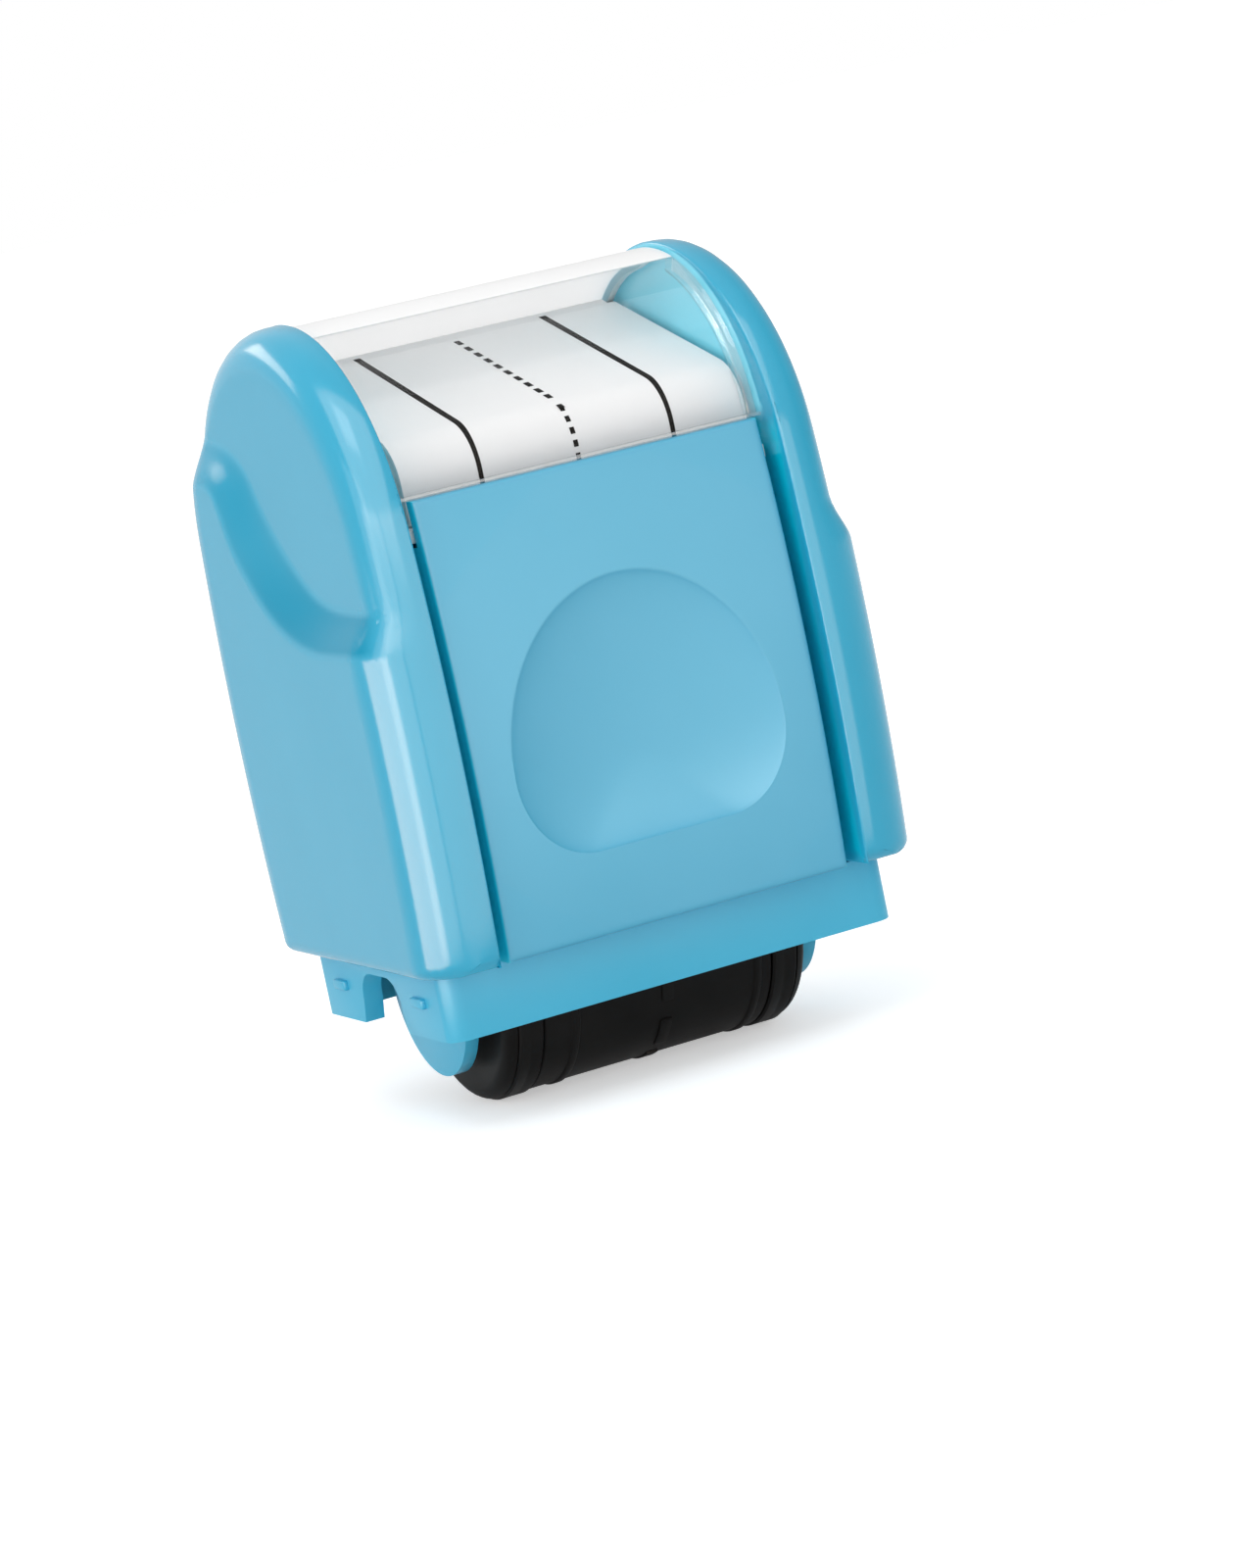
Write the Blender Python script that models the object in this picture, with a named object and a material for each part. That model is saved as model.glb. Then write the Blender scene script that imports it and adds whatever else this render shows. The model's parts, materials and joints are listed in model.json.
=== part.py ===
"""Hand-held roller stamp that prints handwriting lines: a moulded body on a self-inking print roller."""

import math

import bmesh
import bpy
from mathutils import Vector
from mathutils.geometry import delaunay_2d_cdt

for old in list(bpy.data.objects):
    bpy.data.objects.remove(old)

# Overall form. X runs along the roller, -Y is the front and Z is up; the roller rests on Z = 0.
half_width = 0.02105
roller_height = 0.00993
seam = 0.0002

# Side cheeks: a barrel outline with a rounded crown.
cheek_side_radius = 0.1479
cheek_stand = 0.00115
cheek_thickness = 0.00545
cheek_foot_rise = 0.00317
crown_set_in = 0.00095
waist_drop = 0.0157
cheek_corner_radius = 0.0013
edge_fillet = 0.0045
bottom_round = 0.0006
cheek_wall = 0.0014
pocket_set_in = 0.00455
pocket_rise = 0.0052
stud_radius = 0.0012
stud_length = 0.0011
stud_clearance = 0.00015
stud_set_in = 0.0040
stud_rises = (-0.0088, 0.0112)
scoop_depth = 0.0016
# The scoop's sloping wall lies between two lines, given as depth and rise over the waist.
scoop_floor_edge = (
    (-0.0200, 0.0119), (-0.0154, 0.0119), (-0.0094, 0.0119), (-0.0054, 0.0128),
    (-0.0021, 0.0150), (0.0010, 0.0179), (0.0029, 0.0205), (0.0043, 0.0229),
    (0.0071, 0.0244), (0.0111, 0.0251), (0.0200, 0.0263),
)
scoop_outer_edge = (
    (-0.0200, 0.0085), (-0.0115, 0.0085), (-0.0070, 0.0085), (-0.0028, 0.0092),
    (0.0011, 0.0108), (0.0043, 0.0134), (0.0069, 0.0162), (0.0080, 0.0193),
    (0.0088, 0.0213), (0.0122, 0.0216), (0.0200, 0.0218),
)

# Thumb panels, front and rear.
panel_stand = 0.0052
panel_side_radius = 0.1527
panel_rise = 0.0034
panel_wall = 0.0011
side_gap = 0.0011
flange_drop = 0.0003
flange_draft = 0.0002
dimple_drop = 0.0030
dimple_side_margin = 0.00313
dimple_top_rise = 0.0135
dimple_low_drop = 0.00674
dimple_low_flat_share = 0.4917
dimple_depth = 0.0022
dimple_shape_share = 0.8

# Skirt, tower and ears, one moulded frame.
skirt_set_in = 0.00195
skirt_stand = 0.0013
skirt_drop = 0.00223
skirt_corner_radius = 0.0016
skirt_wall = 0.0016
shoulder_thickness = 0.0012
tower_clearance = 0.00087
tower_rise = 0.0070
tower_wall = 0.0012
tower_corner_radius = 0.0010
ear_radius = 0.0071
ear_skin = 0.00005
notch_half_width = 0.0046
notch_top_half_width = 0.0040
notch_height = 0.0042
notch_corner_radius = 0.0024
bump_centre = 0.00805
bump_rise = 0.0028
bump_half_length = 0.0012
bump_half_rise = 0.0004
bump_stand = 0.0004

# Clear window over the label.
window_set_in = 0.00277
window_centre_rise = 0.00244
window_wall = 0.0008
window_end_gap = 0.0003
window_lip_width = 0.0006
window_lip_depth = 0.0004
window_draft = 0.0001

# Label tray and card.
tray_plate = 0.0010
tray_side_gap = 0.0014
tray_wall = 0.0010
tray_rim_drop = 0.0014
tray_rim_clearance = 0.0002
card_set_in = 0.00158
card_knee_share = 0.5195
card_slope_share = 0.31
card_back_share = 0.4921
card_bend_radius = 0.0019
card_thickness = 0.0003
card_clearance = 0.00008

# Print roller.
drum_end_gap = 0.0010
flange_drop_in = 0.00013
flange_width = 0.0010
flange_round = 0.0012
hub_radius = 0.0040
hub_end_gap = 0.0007
ring_width = 0.0021
ring_side_gap = 0.0001
ring_round = 0.0002
ring_bore_gap = 0.0001
sleeve_wall = 0.0008
rib_stand = 0.00033
print_offset = 0.0007
line_margin = 0.00196
rib_half_width = 0.0003
dash_half_width = 0.0005
rib_draft = 0.0001
dash_count = 12
dash_share = 0.63
dash_phase = math.radians(47.4)
axle_radius = 0.0020
axle_end_gap = 0.0002
axle_running_gap = 0.00005
axle_press_gap = 0.00001
bush_wall = 0.0006
bush_flange_radius = 0.0036
bush_flange_thickness = 0.0005
bush_flange_gap = 0.00008
bush_fit_gap = 0.00005

# Ink roller, its sliding cradle, springs and bridge.
felt_radius = 0.0050
felt_end_gap = 0.0003
felt_contact_gap = 0.0003
core_radius = 0.0026
core_reach = 0.0008
core_fit_gap = 0.00005
ink_axle_radius = 0.0012
ink_axle_end_gap = 0.0001
arm_side_gap = 0.0004
arm_thickness = 0.0013
arm_drop = 0.0027
cradle_half_depth = 0.0034
cradle_side_gap = 0.0002
felt_top_gap = 0.0013
cradle_plate = 0.0012
spring_room = 0.00534
bridge_thickness = 0.0020
bridge_half_depth = 0.0030
bridge_end_gap = 0.0001
bridge_fit_gap = 0.00015
post_radius = 0.0012
post_length = 0.0025
spring_place = 0.0070
spring_radius = 0.0019
spring_wire = 0.00025
spring_turns = 5
spring_end_gap = 0.0001

# Steps of the round forms.
roller_steps = 48
small_steps = 32
tiny_steps = 20
corner_steps = 3
side_steps = 6
crown_steps = 10
dimple_steps = 9
bend_steps = 4
arch_steps = 22
wire_sides = 6
coil_steps = 12
snap_distance = 0.000001
flat_angle = math.radians(0.05)
fillet_shares = (0.07, 0.26, 0.5, 0.645, 1.0)
dimple_rings = (0.25, 0.5, 0.7, 0.85, 0.95, 1.0)

# Places that follow from the sizes above, from the cheeks inwards along X.
cheek_inner = half_width - cheek_thickness
fillet_start = half_width - edge_fillet
scoop_fillet = edge_fillet - scoop_depth
panel_half_width = cheek_inner - side_gap
dimple_half_width = panel_half_width - dimple_side_margin
dimple_low_flat = dimple_half_width * dimple_low_flat_share
window_half_width = cheek_inner - window_end_gap
tray_half_width = cheek_inner - tray_side_gap
skirt_half_width = half_width - skirt_set_in
tower_half_width = cheek_inner - seam
tower_inner = tower_half_width - tower_wall
bridge_half_length = tower_half_width - bridge_end_gap
axle_half_length = tower_half_width - axle_end_gap
bush_inner = tower_inner - bush_flange_thickness - bush_flange_gap
hub_half_length = tower_inner - hub_end_gap
drum_half_length = tower_inner - drum_end_gap
flange_inner = drum_half_length - flange_width
ring_outer = flange_inner - ring_side_gap
ring_inner = ring_outer - ring_width
sleeve_half_length = ring_inner - ring_side_gap
line_spacing = sleeve_half_length - line_margin
felt_half_length = sleeve_half_length - felt_end_gap
core_half_length = felt_half_length + core_reach
arm_inner = core_half_length + arm_side_gap
arm_outer = arm_inner + arm_thickness
ink_axle_half_length = arm_outer - ink_axle_end_gap
cradle_half_length = tower_inner - cradle_side_gap

# The same along Y, from the roller outwards.
print_radius = roller_height
sleeve_radius = print_radius - rib_stand
drum_radius = sleeve_radius - sleeve_wall
flange_radius = print_radius - flange_drop_in
tower_half_depth = print_radius + tower_clearance + tower_wall
skirt_half_depth = tower_half_depth + skirt_stand
panel_half_depth = tower_half_depth + panel_stand
cheek_half_depth = panel_half_depth + cheek_stand
crown_radius = cheek_half_depth - crown_set_in
side_centre = cheek_half_depth - cheek_side_radius
pocket_half_depth = cheek_half_depth - pocket_set_in
stud_depth = tower_half_depth - stud_set_in
window_radius = crown_radius - window_set_in
card_front = window_radius - card_set_in
card_back = window_radius * card_back_share

# The same along Z, from the roller upwards.
skirt_bottom = roller_height - skirt_drop
bump_height = skirt_bottom + bump_rise
body_bottom = roller_height + cheek_foot_rise
frame_top = body_bottom - seam
ink_height = roller_height + print_radius + felt_contact_gap + felt_radius
cradle_plate_rise = felt_radius + felt_top_gap
bridge_bottom = ink_height + cradle_plate_rise + cradle_plate + spring_room
tower_top = bridge_bottom + tower_rise
flange_top = tower_top - flange_drop
panel_top = tower_top + panel_rise
window_bottom = tower_top + seam + tray_plate + seam
window_centre = tower_top + window_centre_rise
card_rise = tower_top + window_radius * card_knee_share
waist_height = tower_top - waist_drop
crown_centre = waist_height + math.sqrt((cheek_side_radius - crown_radius) ** 2 - side_centre ** 2)
dimple_centre = waist_height - dimple_drop
pocket_top = waist_height + pocket_rise
stud_places = [(side * stud_depth, waist_height + rise) for rise in stud_rises for side in (-1, 1)]


def material(name, colour, roughness, metallic=0.0, clear_share=0.0):
    """Principled material of one sub-part."""
    made = bpy.data.materials.new(name)
    made.use_nodes = True
    shader = made.node_tree.nodes["Principled BSDF"]
    shader.inputs["Base Color"].default_value = (*colour, 1.0)
    shader.inputs["Roughness"].default_value = roughness
    shader.inputs["Metallic"].default_value = metallic
    shader.inputs["Transmission Weight"].default_value = clear_share
    return made


def finished(name, bm, look, axis_height=None):
    """Object made from a bmesh, with its normals out and its origin on its joint axis."""
    bmesh.ops.remove_doubles(bm, verts=bm.verts[:], dist=snap_distance)
    bmesh.ops.recalc_face_normals(bm, faces=bm.faces[:])
    mesh = bpy.data.meshes.new(name)
    bm.to_mesh(mesh)
    bm.free()
    if mesh.materials:
        mesh.materials.clear()
    mesh.materials.append(look)
    made = bpy.data.objects.new(name, mesh)
    bpy.context.scene.collection.objects.link(made)
    if axis_height is not None:
        for vertex in mesh.vertices:
            vertex.co.z -= axis_height
        made.location.z = axis_height
    return made


def reshaped(body, tools, operation):
    """Body cut by, or joined with, its tools."""
    for tool in tools:
        change = body.modifiers.new(operation.lower(), "BOOLEAN")
        change.operation = operation
        change.solver = "EXACT"
        change.object = tool
    bpy.context.view_layer.update()
    graph = bpy.context.evaluated_depsgraph_get()
    body.data = bpy.data.meshes.new_from_object(body.evaluated_get(graph))
    body.modifiers.clear()
    for tool in tools:
        bpy.data.objects.remove(tool)
    return body


def arc(centre, radius, start, end, steps):
    """Points of an arc in a plane, both ends included."""
    angles = [start + (end - start) * i / steps for i in range(steps + 1)]
    return [(centre[0] + radius * math.cos(a), centre[1] + radius * math.sin(a)) for a in angles]


def rounded_rectangle(half_a, half_b, radius):
    """Closed outline of a rectangle with round corners."""
    points = []
    for turn, (a, b) in enumerate(((1, 1), (-1, 1), (-1, -1), (1, -1))):
        centre = (a * (half_a - radius), b * (half_b - radius))
        start = turn * math.pi / 2
        points += arc(centre, radius, start, start + math.pi / 2, corner_steps)
    return points


def along_x(outline, x):
    return [(x, a, b) for a, b in outline]


def along_y(outline, y):
    return [(a, y, b) for a, b in outline]


def along_z(outline, z):
    return [(a, b, z) for a, b in outline]


def lofted(name, loops, look, closed=False, axis_height=None):
    """Body through a row of loops with equal point counts, capped at both ends or closed into a ring."""
    bm = bmesh.new()
    rows = [[bm.verts.new(point) for point in loop] for loop in loops]
    pairs = list(zip(rows, rows[1:]))
    if closed:
        pairs.append((rows[-1], rows[0]))
    else:
        bm.faces.new(rows[0][::-1])
        bm.faces.new(rows[-1])
    for low, high in pairs:
        for i in range(len(low)):
            j = (i + 1) % len(low)
            bm.faces.new((low[i], low[j], high[j], high[i]))
    return finished(name, bm, look, axis_height)


def prism(name, outline, place, low, high, look, axis_height=None):
    """Straight body with one outline."""
    return lofted(name, [place(outline, low), place(outline, high)], look, False, axis_height)


def box(name, low, high, look):
    """Straight box between two corners."""
    (x0, y0, z0), (x1, y1, z1) = low, high
    return prism(name, [(x0, y0), (x1, y0), (x1, y1), (x0, y1)], along_z, z0, z1, look)


def circle(radius, height, steps, phase=0.0):
    """Closed circle about a line along X."""
    turns = [phase + 2 * math.pi * i / steps for i in range(steps)]
    return [(radius * math.cos(a), height + radius * math.sin(a)) for a in turns]


def turned(name, profile, height, steps, look, bored=False, axis_height=None):
    """Body turned about a line along X from (x, radius) points. A bored one has a closed profile."""
    loops = [along_x(circle(radius, height, steps), x) for x, radius in profile]
    return lofted(name, loops, look, bored, axis_height)


def rod(name, x0, x1, radius, depth, height, steps, look):
    """Straight round rod along X."""
    outline = [(depth + y, z) for y, z in circle(radius, height, steps)]
    return prism(name, outline, along_x, x0, x1, look)


def softened(points):
    """Open line with its corners cut once, ends kept."""
    cut = [points[0]]
    for (a, b), (c, d) in zip(points, points[1:]):
        cut += [(a + (c - a) / 4, b + (d - b) / 4), (a + (c - a) * 3 / 4, b + (d - b) * 3 / 4)]
    return cut + [points[-1]]


def line_height(line, place):
    """Height of a line that runs from front to rear, at one place."""
    for (a, low), (b, high) in zip(line, line[1:]):
        if place <= b:
            return low + (high - low) * (place - a) / (b - a)
    return line[-1][1]


def line_distance(line, point):
    """Distance from a point to an open line."""
    least = math.inf
    spot = Vector(point)
    for start, end in zip(line, line[1:]):
        start, end = Vector(start), Vector(end)
        run = end - start
        share = min(1.0, max(0.0, (spot - start).dot(run) / run.length_squared))
        least = min(least, (spot - start - run * share).length)
    return least


def relief(name, loop, lines, front, back, place, look):
    """Closed body between two height surfaces over one outline, with edges along the given lines."""
    points, edges = [], []
    for line in [loop + loop[:1]] + lines:
        first = len(points)
        points += [Vector(point) for point in line]
        edges += [(first + i, first + i + 1) for i in range(len(line) - 1)]
    points, _, faces, *_ = delaunay_2d_cdt(points, edges, [], 1, snap_distance)
    bm = bmesh.new()
    used = sorted({i for face in faces for i in face})
    tops = {i: bm.verts.new(place(*points[i], front(*points[i]))) for i in used}
    bases = {i: bm.verts.new(place(*points[i], back(*points[i]))) for i in used}
    sides = {pair for face in faces for pair in zip(face, face[1:] + face[:1])}
    for face in faces:
        bm.faces.new([tops[i] for i in face])
        bm.faces.new([bases[i] for i in reversed(face)])
    for a, b in sides:
        if (b, a) not in sides:
            bm.faces.new((tops[b], tops[a], bases[a], bases[b]))
    bmesh.ops.recalc_face_normals(bm, faces=bm.faces[:])
    bmesh.ops.dissolve_limit(bm, angle_limit=flat_angle, verts=bm.verts[:], edges=bm.edges[:])
    return finished(name, bm, look)


def barrel_outline(inset, low_end):
    """Sides and crown of a cheek, moved inwards, from the rear bottom over the crown to the front bottom."""
    side_radius = cheek_side_radius - inset
    low = math.asin((low_end - waist_height) / side_radius)
    high = math.atan2(crown_centre - waist_height, -side_centre)
    half = arc((side_centre, waist_height), side_radius, low, high, side_steps)
    half += arc((0, crown_centre), crown_radius - inset, high, math.pi / 2, crown_steps)[1:]
    return half + [(-y, z) for y, z in reversed(half[:-1])]


def cheek_outline():
    """Closed barrel outline of a cheek with its two bottom corners rounded."""
    corner_height = body_bottom + cheek_corner_radius
    upper = barrel_outline(0, corner_height)
    low = math.asin((corner_height - waist_height) / cheek_side_radius)
    centre = (upper[0][0] - cheek_corner_radius, corner_height)
    corner = arc(centre, cheek_corner_radius, -math.pi / 2, low, corner_steps)[:-1]
    return corner + upper + [(-y, z) for y, z in reversed(corner)]


def cheek_inset(depth, height):
    """How far in from its sides and crown a place on a cheek is."""
    out, up = abs(depth), height - waist_height
    lean = -side_centre * up - (crown_centre - waist_height) * (out - side_centre)
    if lean > 0:
        return crown_radius - math.hypot(out, height - crown_centre)
    return cheek_side_radius - math.hypot(out - side_centre, up)


def fillet_rise(radius, inset):
    """Height of a quarter-round edge at a distance in from its foot."""
    left = radius - min(radius, max(0.0, inset))
    return math.sqrt(radius ** 2 - left ** 2)


def cheek_surface(floor_edge, outer_edge):
    """Function giving how far out a cheek's outer face is at a depth and height."""

    def outer_share(depth, height):
        if height <= line_height(outer_edge, depth) + snap_distance:
            return 1.0
        if height >= line_height(floor_edge, depth) - snap_distance:
            return 0.0
        to_floor = line_distance(floor_edge, (depth, height))
        return to_floor / (to_floor + line_distance(outer_edge, (depth, height)))

    def surface(depth, height):
        inset = cheek_inset(depth, height)
        outer = fillet_rise(edge_fillet, inset)
        floor = fillet_rise(scoop_fillet, inset)
        raised = floor + (outer - floor) * outer_share(depth, height)
        lowered = bottom_round - fillet_rise(bottom_round, height - body_bottom)
        return fillet_start + max(0.0, raised - lowered)

    return surface


def cheek_cover(name, side, look):
    """Side cheek: a rounded cover with a scooped grip, a pocket open below and studs for the tower."""
    floor_edge, outer_edge = (
        softened([(depth, waist_height + rise) for depth, rise in edge])
        for edge in (scoop_floor_edge, scoop_outer_edge)
    )
    lines = [floor_edge, outer_edge]
    lines += [barrel_outline(edge_fillet * share, body_bottom - bottom_round) for share in fillet_shares]
    for share in (fillet_shares[1], fillet_shares[-1]):
        height = body_bottom + bottom_round * share
        lines.append([(-cheek_half_depth, height), (cheek_half_depth, height)])
    cover = relief(
        name, cheek_outline(), lines, cheek_surface(floor_edge, outer_edge),
        lambda depth, height: cheek_inner, lambda y, z, x: (side * x, y, z), look,
    )
    pocket = rounded_rectangle(pocket_half_depth, pocket_top - body_bottom, edge_fillet)
    pocket = [(y, body_bottom + z) for y, z in pocket]
    walls = sorted((side * (cheek_inner + cheek_wall), side * (half_width - cheek_wall)))
    cutter = prism("pocket", pocket, along_x, *walls, look)
    reshaped(cover, [cutter], "DIFFERENCE")
    studs = []
    for depth, height in stud_places:
        ends = sorted((side * (cheek_inner - stud_length), side * (cheek_inner + cheek_wall / 2)))
        studs.append(rod("stud", *ends, stud_radius, depth, height, tiny_steps, look))
    return reshaped(cover, studs, "UNION")


def dimple_share(x, height):
    """Place inside the dimple: 0 at its centre and 1 at its rim."""
    rise = height - dimple_centre
    if rise >= 0:
        return math.hypot(x / dimple_half_width, rise / dimple_top_rise)
    drop = -rise / dimple_low_drop
    if abs(x) <= dimple_low_flat * drop:
        return drop
    round_width = dimple_half_width - dimple_low_flat
    square = x ** 2 + (round_width * drop) ** 2
    bend = dimple_low_flat ** 2 - round_width ** 2
    root = math.sqrt(max(0.0, (dimple_low_flat * x) ** 2 - bend * square))
    return square / (dimple_low_flat * abs(x) + root)


def dimple_ring(share):
    """Closed outline of the dimple, shrunk about its centre."""
    top = arc((0, 0), 1, 0, math.pi, 2 * dimple_steps)
    ring = [(dimple_half_width * a, dimple_top_rise * b) for a, b in top]
    round_width = dimple_half_width - dimple_low_flat
    steps = dimple_steps - 2
    for side, start in ((-1, math.pi), (1, 3 * math.pi / 2)):
        for i in range(steps + 1):
            a = start + math.pi / 2 * i / steps
            ring.append((side * dimple_low_flat + round_width * math.cos(a), dimple_low_drop * math.sin(a)))
    return [(share * x, dimple_centre + share * z) for x, z in ring]


def panel_depth(height):
    """Half depth of the thumb panels at a height."""
    rise = height - waist_height
    return panel_half_depth - panel_side_radius + math.sqrt(panel_side_radius ** 2 - rise ** 2)


def panel_face(x, height):
    """How far out a thumb panel's face is."""
    share = dimple_share(x, height)
    sunk = dimple_depth * (1 - share ** 2) ** dimple_shape_share if share < 1 else 0.0
    return panel_depth(height) - sunk


def panel_back(x, height):
    """How far out a thumb panel's back is: a flange on three edges, and a wall elsewhere."""
    in_sides = abs(x) > panel_half_width - panel_wall - flange_draft / 2
    in_bottom = height < body_bottom + panel_wall + flange_draft / 2
    if (in_sides or in_bottom) and height < flange_top + flange_draft / 2:
        return tower_half_depth + seam
    return panel_face(x, height) - panel_wall


def thumb_panel(name, side, look):
    """Thumb panel with a dished grip, and a flange that meets the tower."""
    heights = [body_bottom + (panel_top - body_bottom) * i / side_steps for i in range(1, side_steps)]
    edge = [(panel_half_width, z) for z in heights]
    loop = [(-panel_half_width, body_bottom), (panel_half_width, body_bottom)] + edge
    loop += [(panel_half_width, panel_top), (-panel_half_width, panel_top)]
    loop += [(-x, z) for x, z in reversed(edge)]
    lines = [dimple_ring(share) + dimple_ring(share)[:1] for share in dimple_rings]
    lines += [[(-panel_half_width, z), (panel_half_width, z)] for z in heights]
    for step in (0, flange_draft):
        x, low = panel_half_width - panel_wall - step, body_bottom + panel_wall + step
        high = flange_top + step
        half = [(x, low), (x, high), (panel_half_width, high)]
        lines.append([(-a, b) for a, b in reversed(half)] + half)
    return relief(name, loop, lines, panel_face, panel_back, lambda x, z, y: (x, side * y, z), look)


def skirt_frame(look):
    """Skirt, shoulder, tower and ears in one moulding, with bush holes, notches and slots."""
    skirt = rounded_rectangle(skirt_half_width, skirt_half_depth, skirt_corner_radius)
    skirt_in = rounded_rectangle(skirt_half_width - skirt_wall, skirt_half_depth - skirt_wall, tower_corner_radius)
    tower = rounded_rectangle(tower_half_width, tower_half_depth, tower_corner_radius)
    tower_in = rounded_rectangle(tower_inner, tower_half_depth - tower_wall, tower_corner_radius / 2)
    under = frame_top - shoulder_thickness
    stack = (
        (skirt, skirt_bottom), (skirt, frame_top), (tower, frame_top), (tower, tower_top),
        (tower_in, tower_top), (tower_in, under), (skirt_in, under), (skirt_in, skirt_bottom),
    )
    frame = lofted("skirt_frame", [along_z(loop, z) for loop, z in stack], look, closed=True)
    ears, cutters = [], []
    ear_low = tower_inner + ear_skin
    ear_high = tower_half_width - ear_skin
    ear = arc((0, roller_height), ear_radius, math.pi, 2 * math.pi, small_steps // 2)
    ear += [(ear_radius, frame_top + shoulder_thickness), (-ear_radius, frame_top + shoulder_thickness)]
    foot = (notch_half_width, skirt_bottom - notch_corner_radius)
    notch = [(foot[0], foot[1]), (notch_half_width, skirt_bottom)]
    notch_top = skirt_bottom + notch_height
    centre = (notch_top_half_width - notch_corner_radius, notch_top - notch_corner_radius)
    notch += arc(centre, notch_corner_radius, 0, math.pi / 2, bend_steps)
    notch += [(-y, z) for y, z in reversed(notch)]
    hole_radius = axle_radius + axle_running_gap + bush_wall + bush_fit_gap
    for side in (-1, 1):
        ears.append(prism("ear", ear, along_x, *sorted((side * ear_low, side * ear_high)), look))
        for place in (-bump_centre, bump_centre):
            xs = sorted((side * (skirt_half_width - skirt_wall / 2), side * (skirt_half_width + bump_stand)))
            low = (xs[0], place - bump_half_length, bump_height - bump_half_rise)
            high = (xs[1], place + bump_half_length, bump_height + bump_half_rise)
            ears.append(box("bump", low, high, look))
        outside = sorted((side * (tower_half_width + seam), side * (skirt_half_width + bump_stand)))
        cutters.append(prism("notch", notch, along_x, *outside, look))
        through = sorted((side * (tower_inner - tower_wall), side * (tower_half_width + tower_wall)))
        bored = sorted((side * (tower_inner - tower_wall), side * (tower_half_width + seam)))
        cutters.append(rod("bush_hole", *bored, hole_radius, 0, roller_height, small_steps, look))
        for depth, height in stud_places:
            wide = stud_radius + stud_clearance
            cutters.append(rod("stud_hole", *through, wide, depth, height, tiny_steps, look))
        low = (through[0], -bridge_half_depth - bridge_fit_gap, bridge_bottom - bridge_fit_gap)
        high = (through[1], bridge_half_depth + bridge_fit_gap, bridge_bottom + bridge_thickness + bridge_fit_gap)
        cutters.append(box("slot", low, high, look))
    reshaped(frame, ears, "UNION")
    return reshaped(frame, cutters, "DIFFERENCE")


def window_section(x, thickness):
    """Closed section of the window: outside over the arch, then back along the inside."""
    outer = [(window_radius, window_bottom)] + arc((0, window_centre), window_radius, 0, math.pi, arch_steps)
    outer.append((-window_radius, window_bottom))
    inside = window_radius - thickness
    inner = [(inside, window_bottom)] + arc((0, window_centre), inside, 0, math.pi, arch_steps)
    inner.append((-inside, window_bottom))
    return along_x(outer + inner[::-1], x)


def clear_window(look):
    """Clear arched window with a thicker lip at each end."""
    thick = window_wall + window_lip_depth
    lip = window_half_width - window_lip_width
    bm = bmesh.new()
    sections = (
        (-window_half_width, thick), (-lip, thick), (-lip + window_draft, window_wall),
        (lip - window_draft, window_wall), (lip, thick), (window_half_width, thick),
    )
    rows = [[bm.verts.new(point) for point in window_section(x, wall)] for x, wall in sections]
    count = len(rows[0])
    for low, high in zip(rows, rows[1:]):
        for i in range(count):
            j = (i + 1) % count
            bm.faces.new((low[i], low[j], high[j], high[i]))
    for row in (rows[0], rows[-1]):
        for i in range(count // 2 - 1):
            bm.faces.new((row[i], row[i + 1], row[count - 2 - i], row[count - 1 - i]))
    return finished("clear_window", bm, look)


def card_line(inset, low):
    """Open line of the label from its front foot over the bend and up the ramp, moved inwards."""
    slope = math.atan(card_slope_share)
    front, back = -card_front + inset, card_back
    radius = card_bend_radius - inset
    lift = card_rise - inset / math.cos(slope)
    knee = lift + card_slope_share * (front + card_front)
    reach = radius * math.tan((math.pi / 2 - slope) / 2)
    centre = (front + radius, knee - reach)
    bend = arc(centre, radius, math.pi, math.pi / 2 + slope, bend_steps)
    return [(front, low)] + bend + [(back, lift + card_slope_share * (back + card_front))]


def label_card(look):
    """Thin printed card bent over the tray."""
    outer = card_line(0, window_bottom)
    inner = card_line(card_thickness, window_bottom)
    return prism("label_card", outer + inner[::-1], along_x, -tray_half_width, tray_half_width, look)


def card_tray(look):
    """Tray under the card: a plate on the tower, a rim inside it and a hollow ramp."""
    low = tower_top + seam
    top = low + tray_plate
    skin = card_thickness + card_clearance
    ramp = card_line(skin, top - tray_plate / 2)
    ramp.append((card_back, top - tray_plate / 2))
    depth = window_radius
    tray = box(
        "card_tray", (-window_half_width, -depth, low), (window_half_width, depth, top), look,
    )
    raised = prism("ramp", ramp, along_x, -tray_half_width, tray_half_width, look)
    gap = tray_rim_clearance
    rim_x, rim_y = tower_inner - gap, tower_half_depth - tower_wall - gap
    rim = box("rim", (-rim_x, -rim_y, low - tray_rim_drop), (rim_x, rim_y, low + tray_plate / 2), look)
    reshaped(tray, [raised, rim], "UNION")
    hollow = card_line(skin + tray_wall, low - 2 * tray_rim_drop)
    end = (card_back - tray_wall, hollow[-1][1] - card_slope_share * tray_wall)
    start = (-rim_y + tray_wall, low - 2 * tray_rim_drop)
    ledge = (-rim_y + tray_wall, top)
    hollow = [start, ledge, (hollow[0][0], top)] + hollow[1:-1] + [end, (end[0], low - 2 * tray_rim_drop)]
    inside = tray_half_width - tray_wall
    return reshaped(tray, [prism("hollow", hollow, along_x, -inside, inside, look)], "DIFFERENCE")


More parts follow.
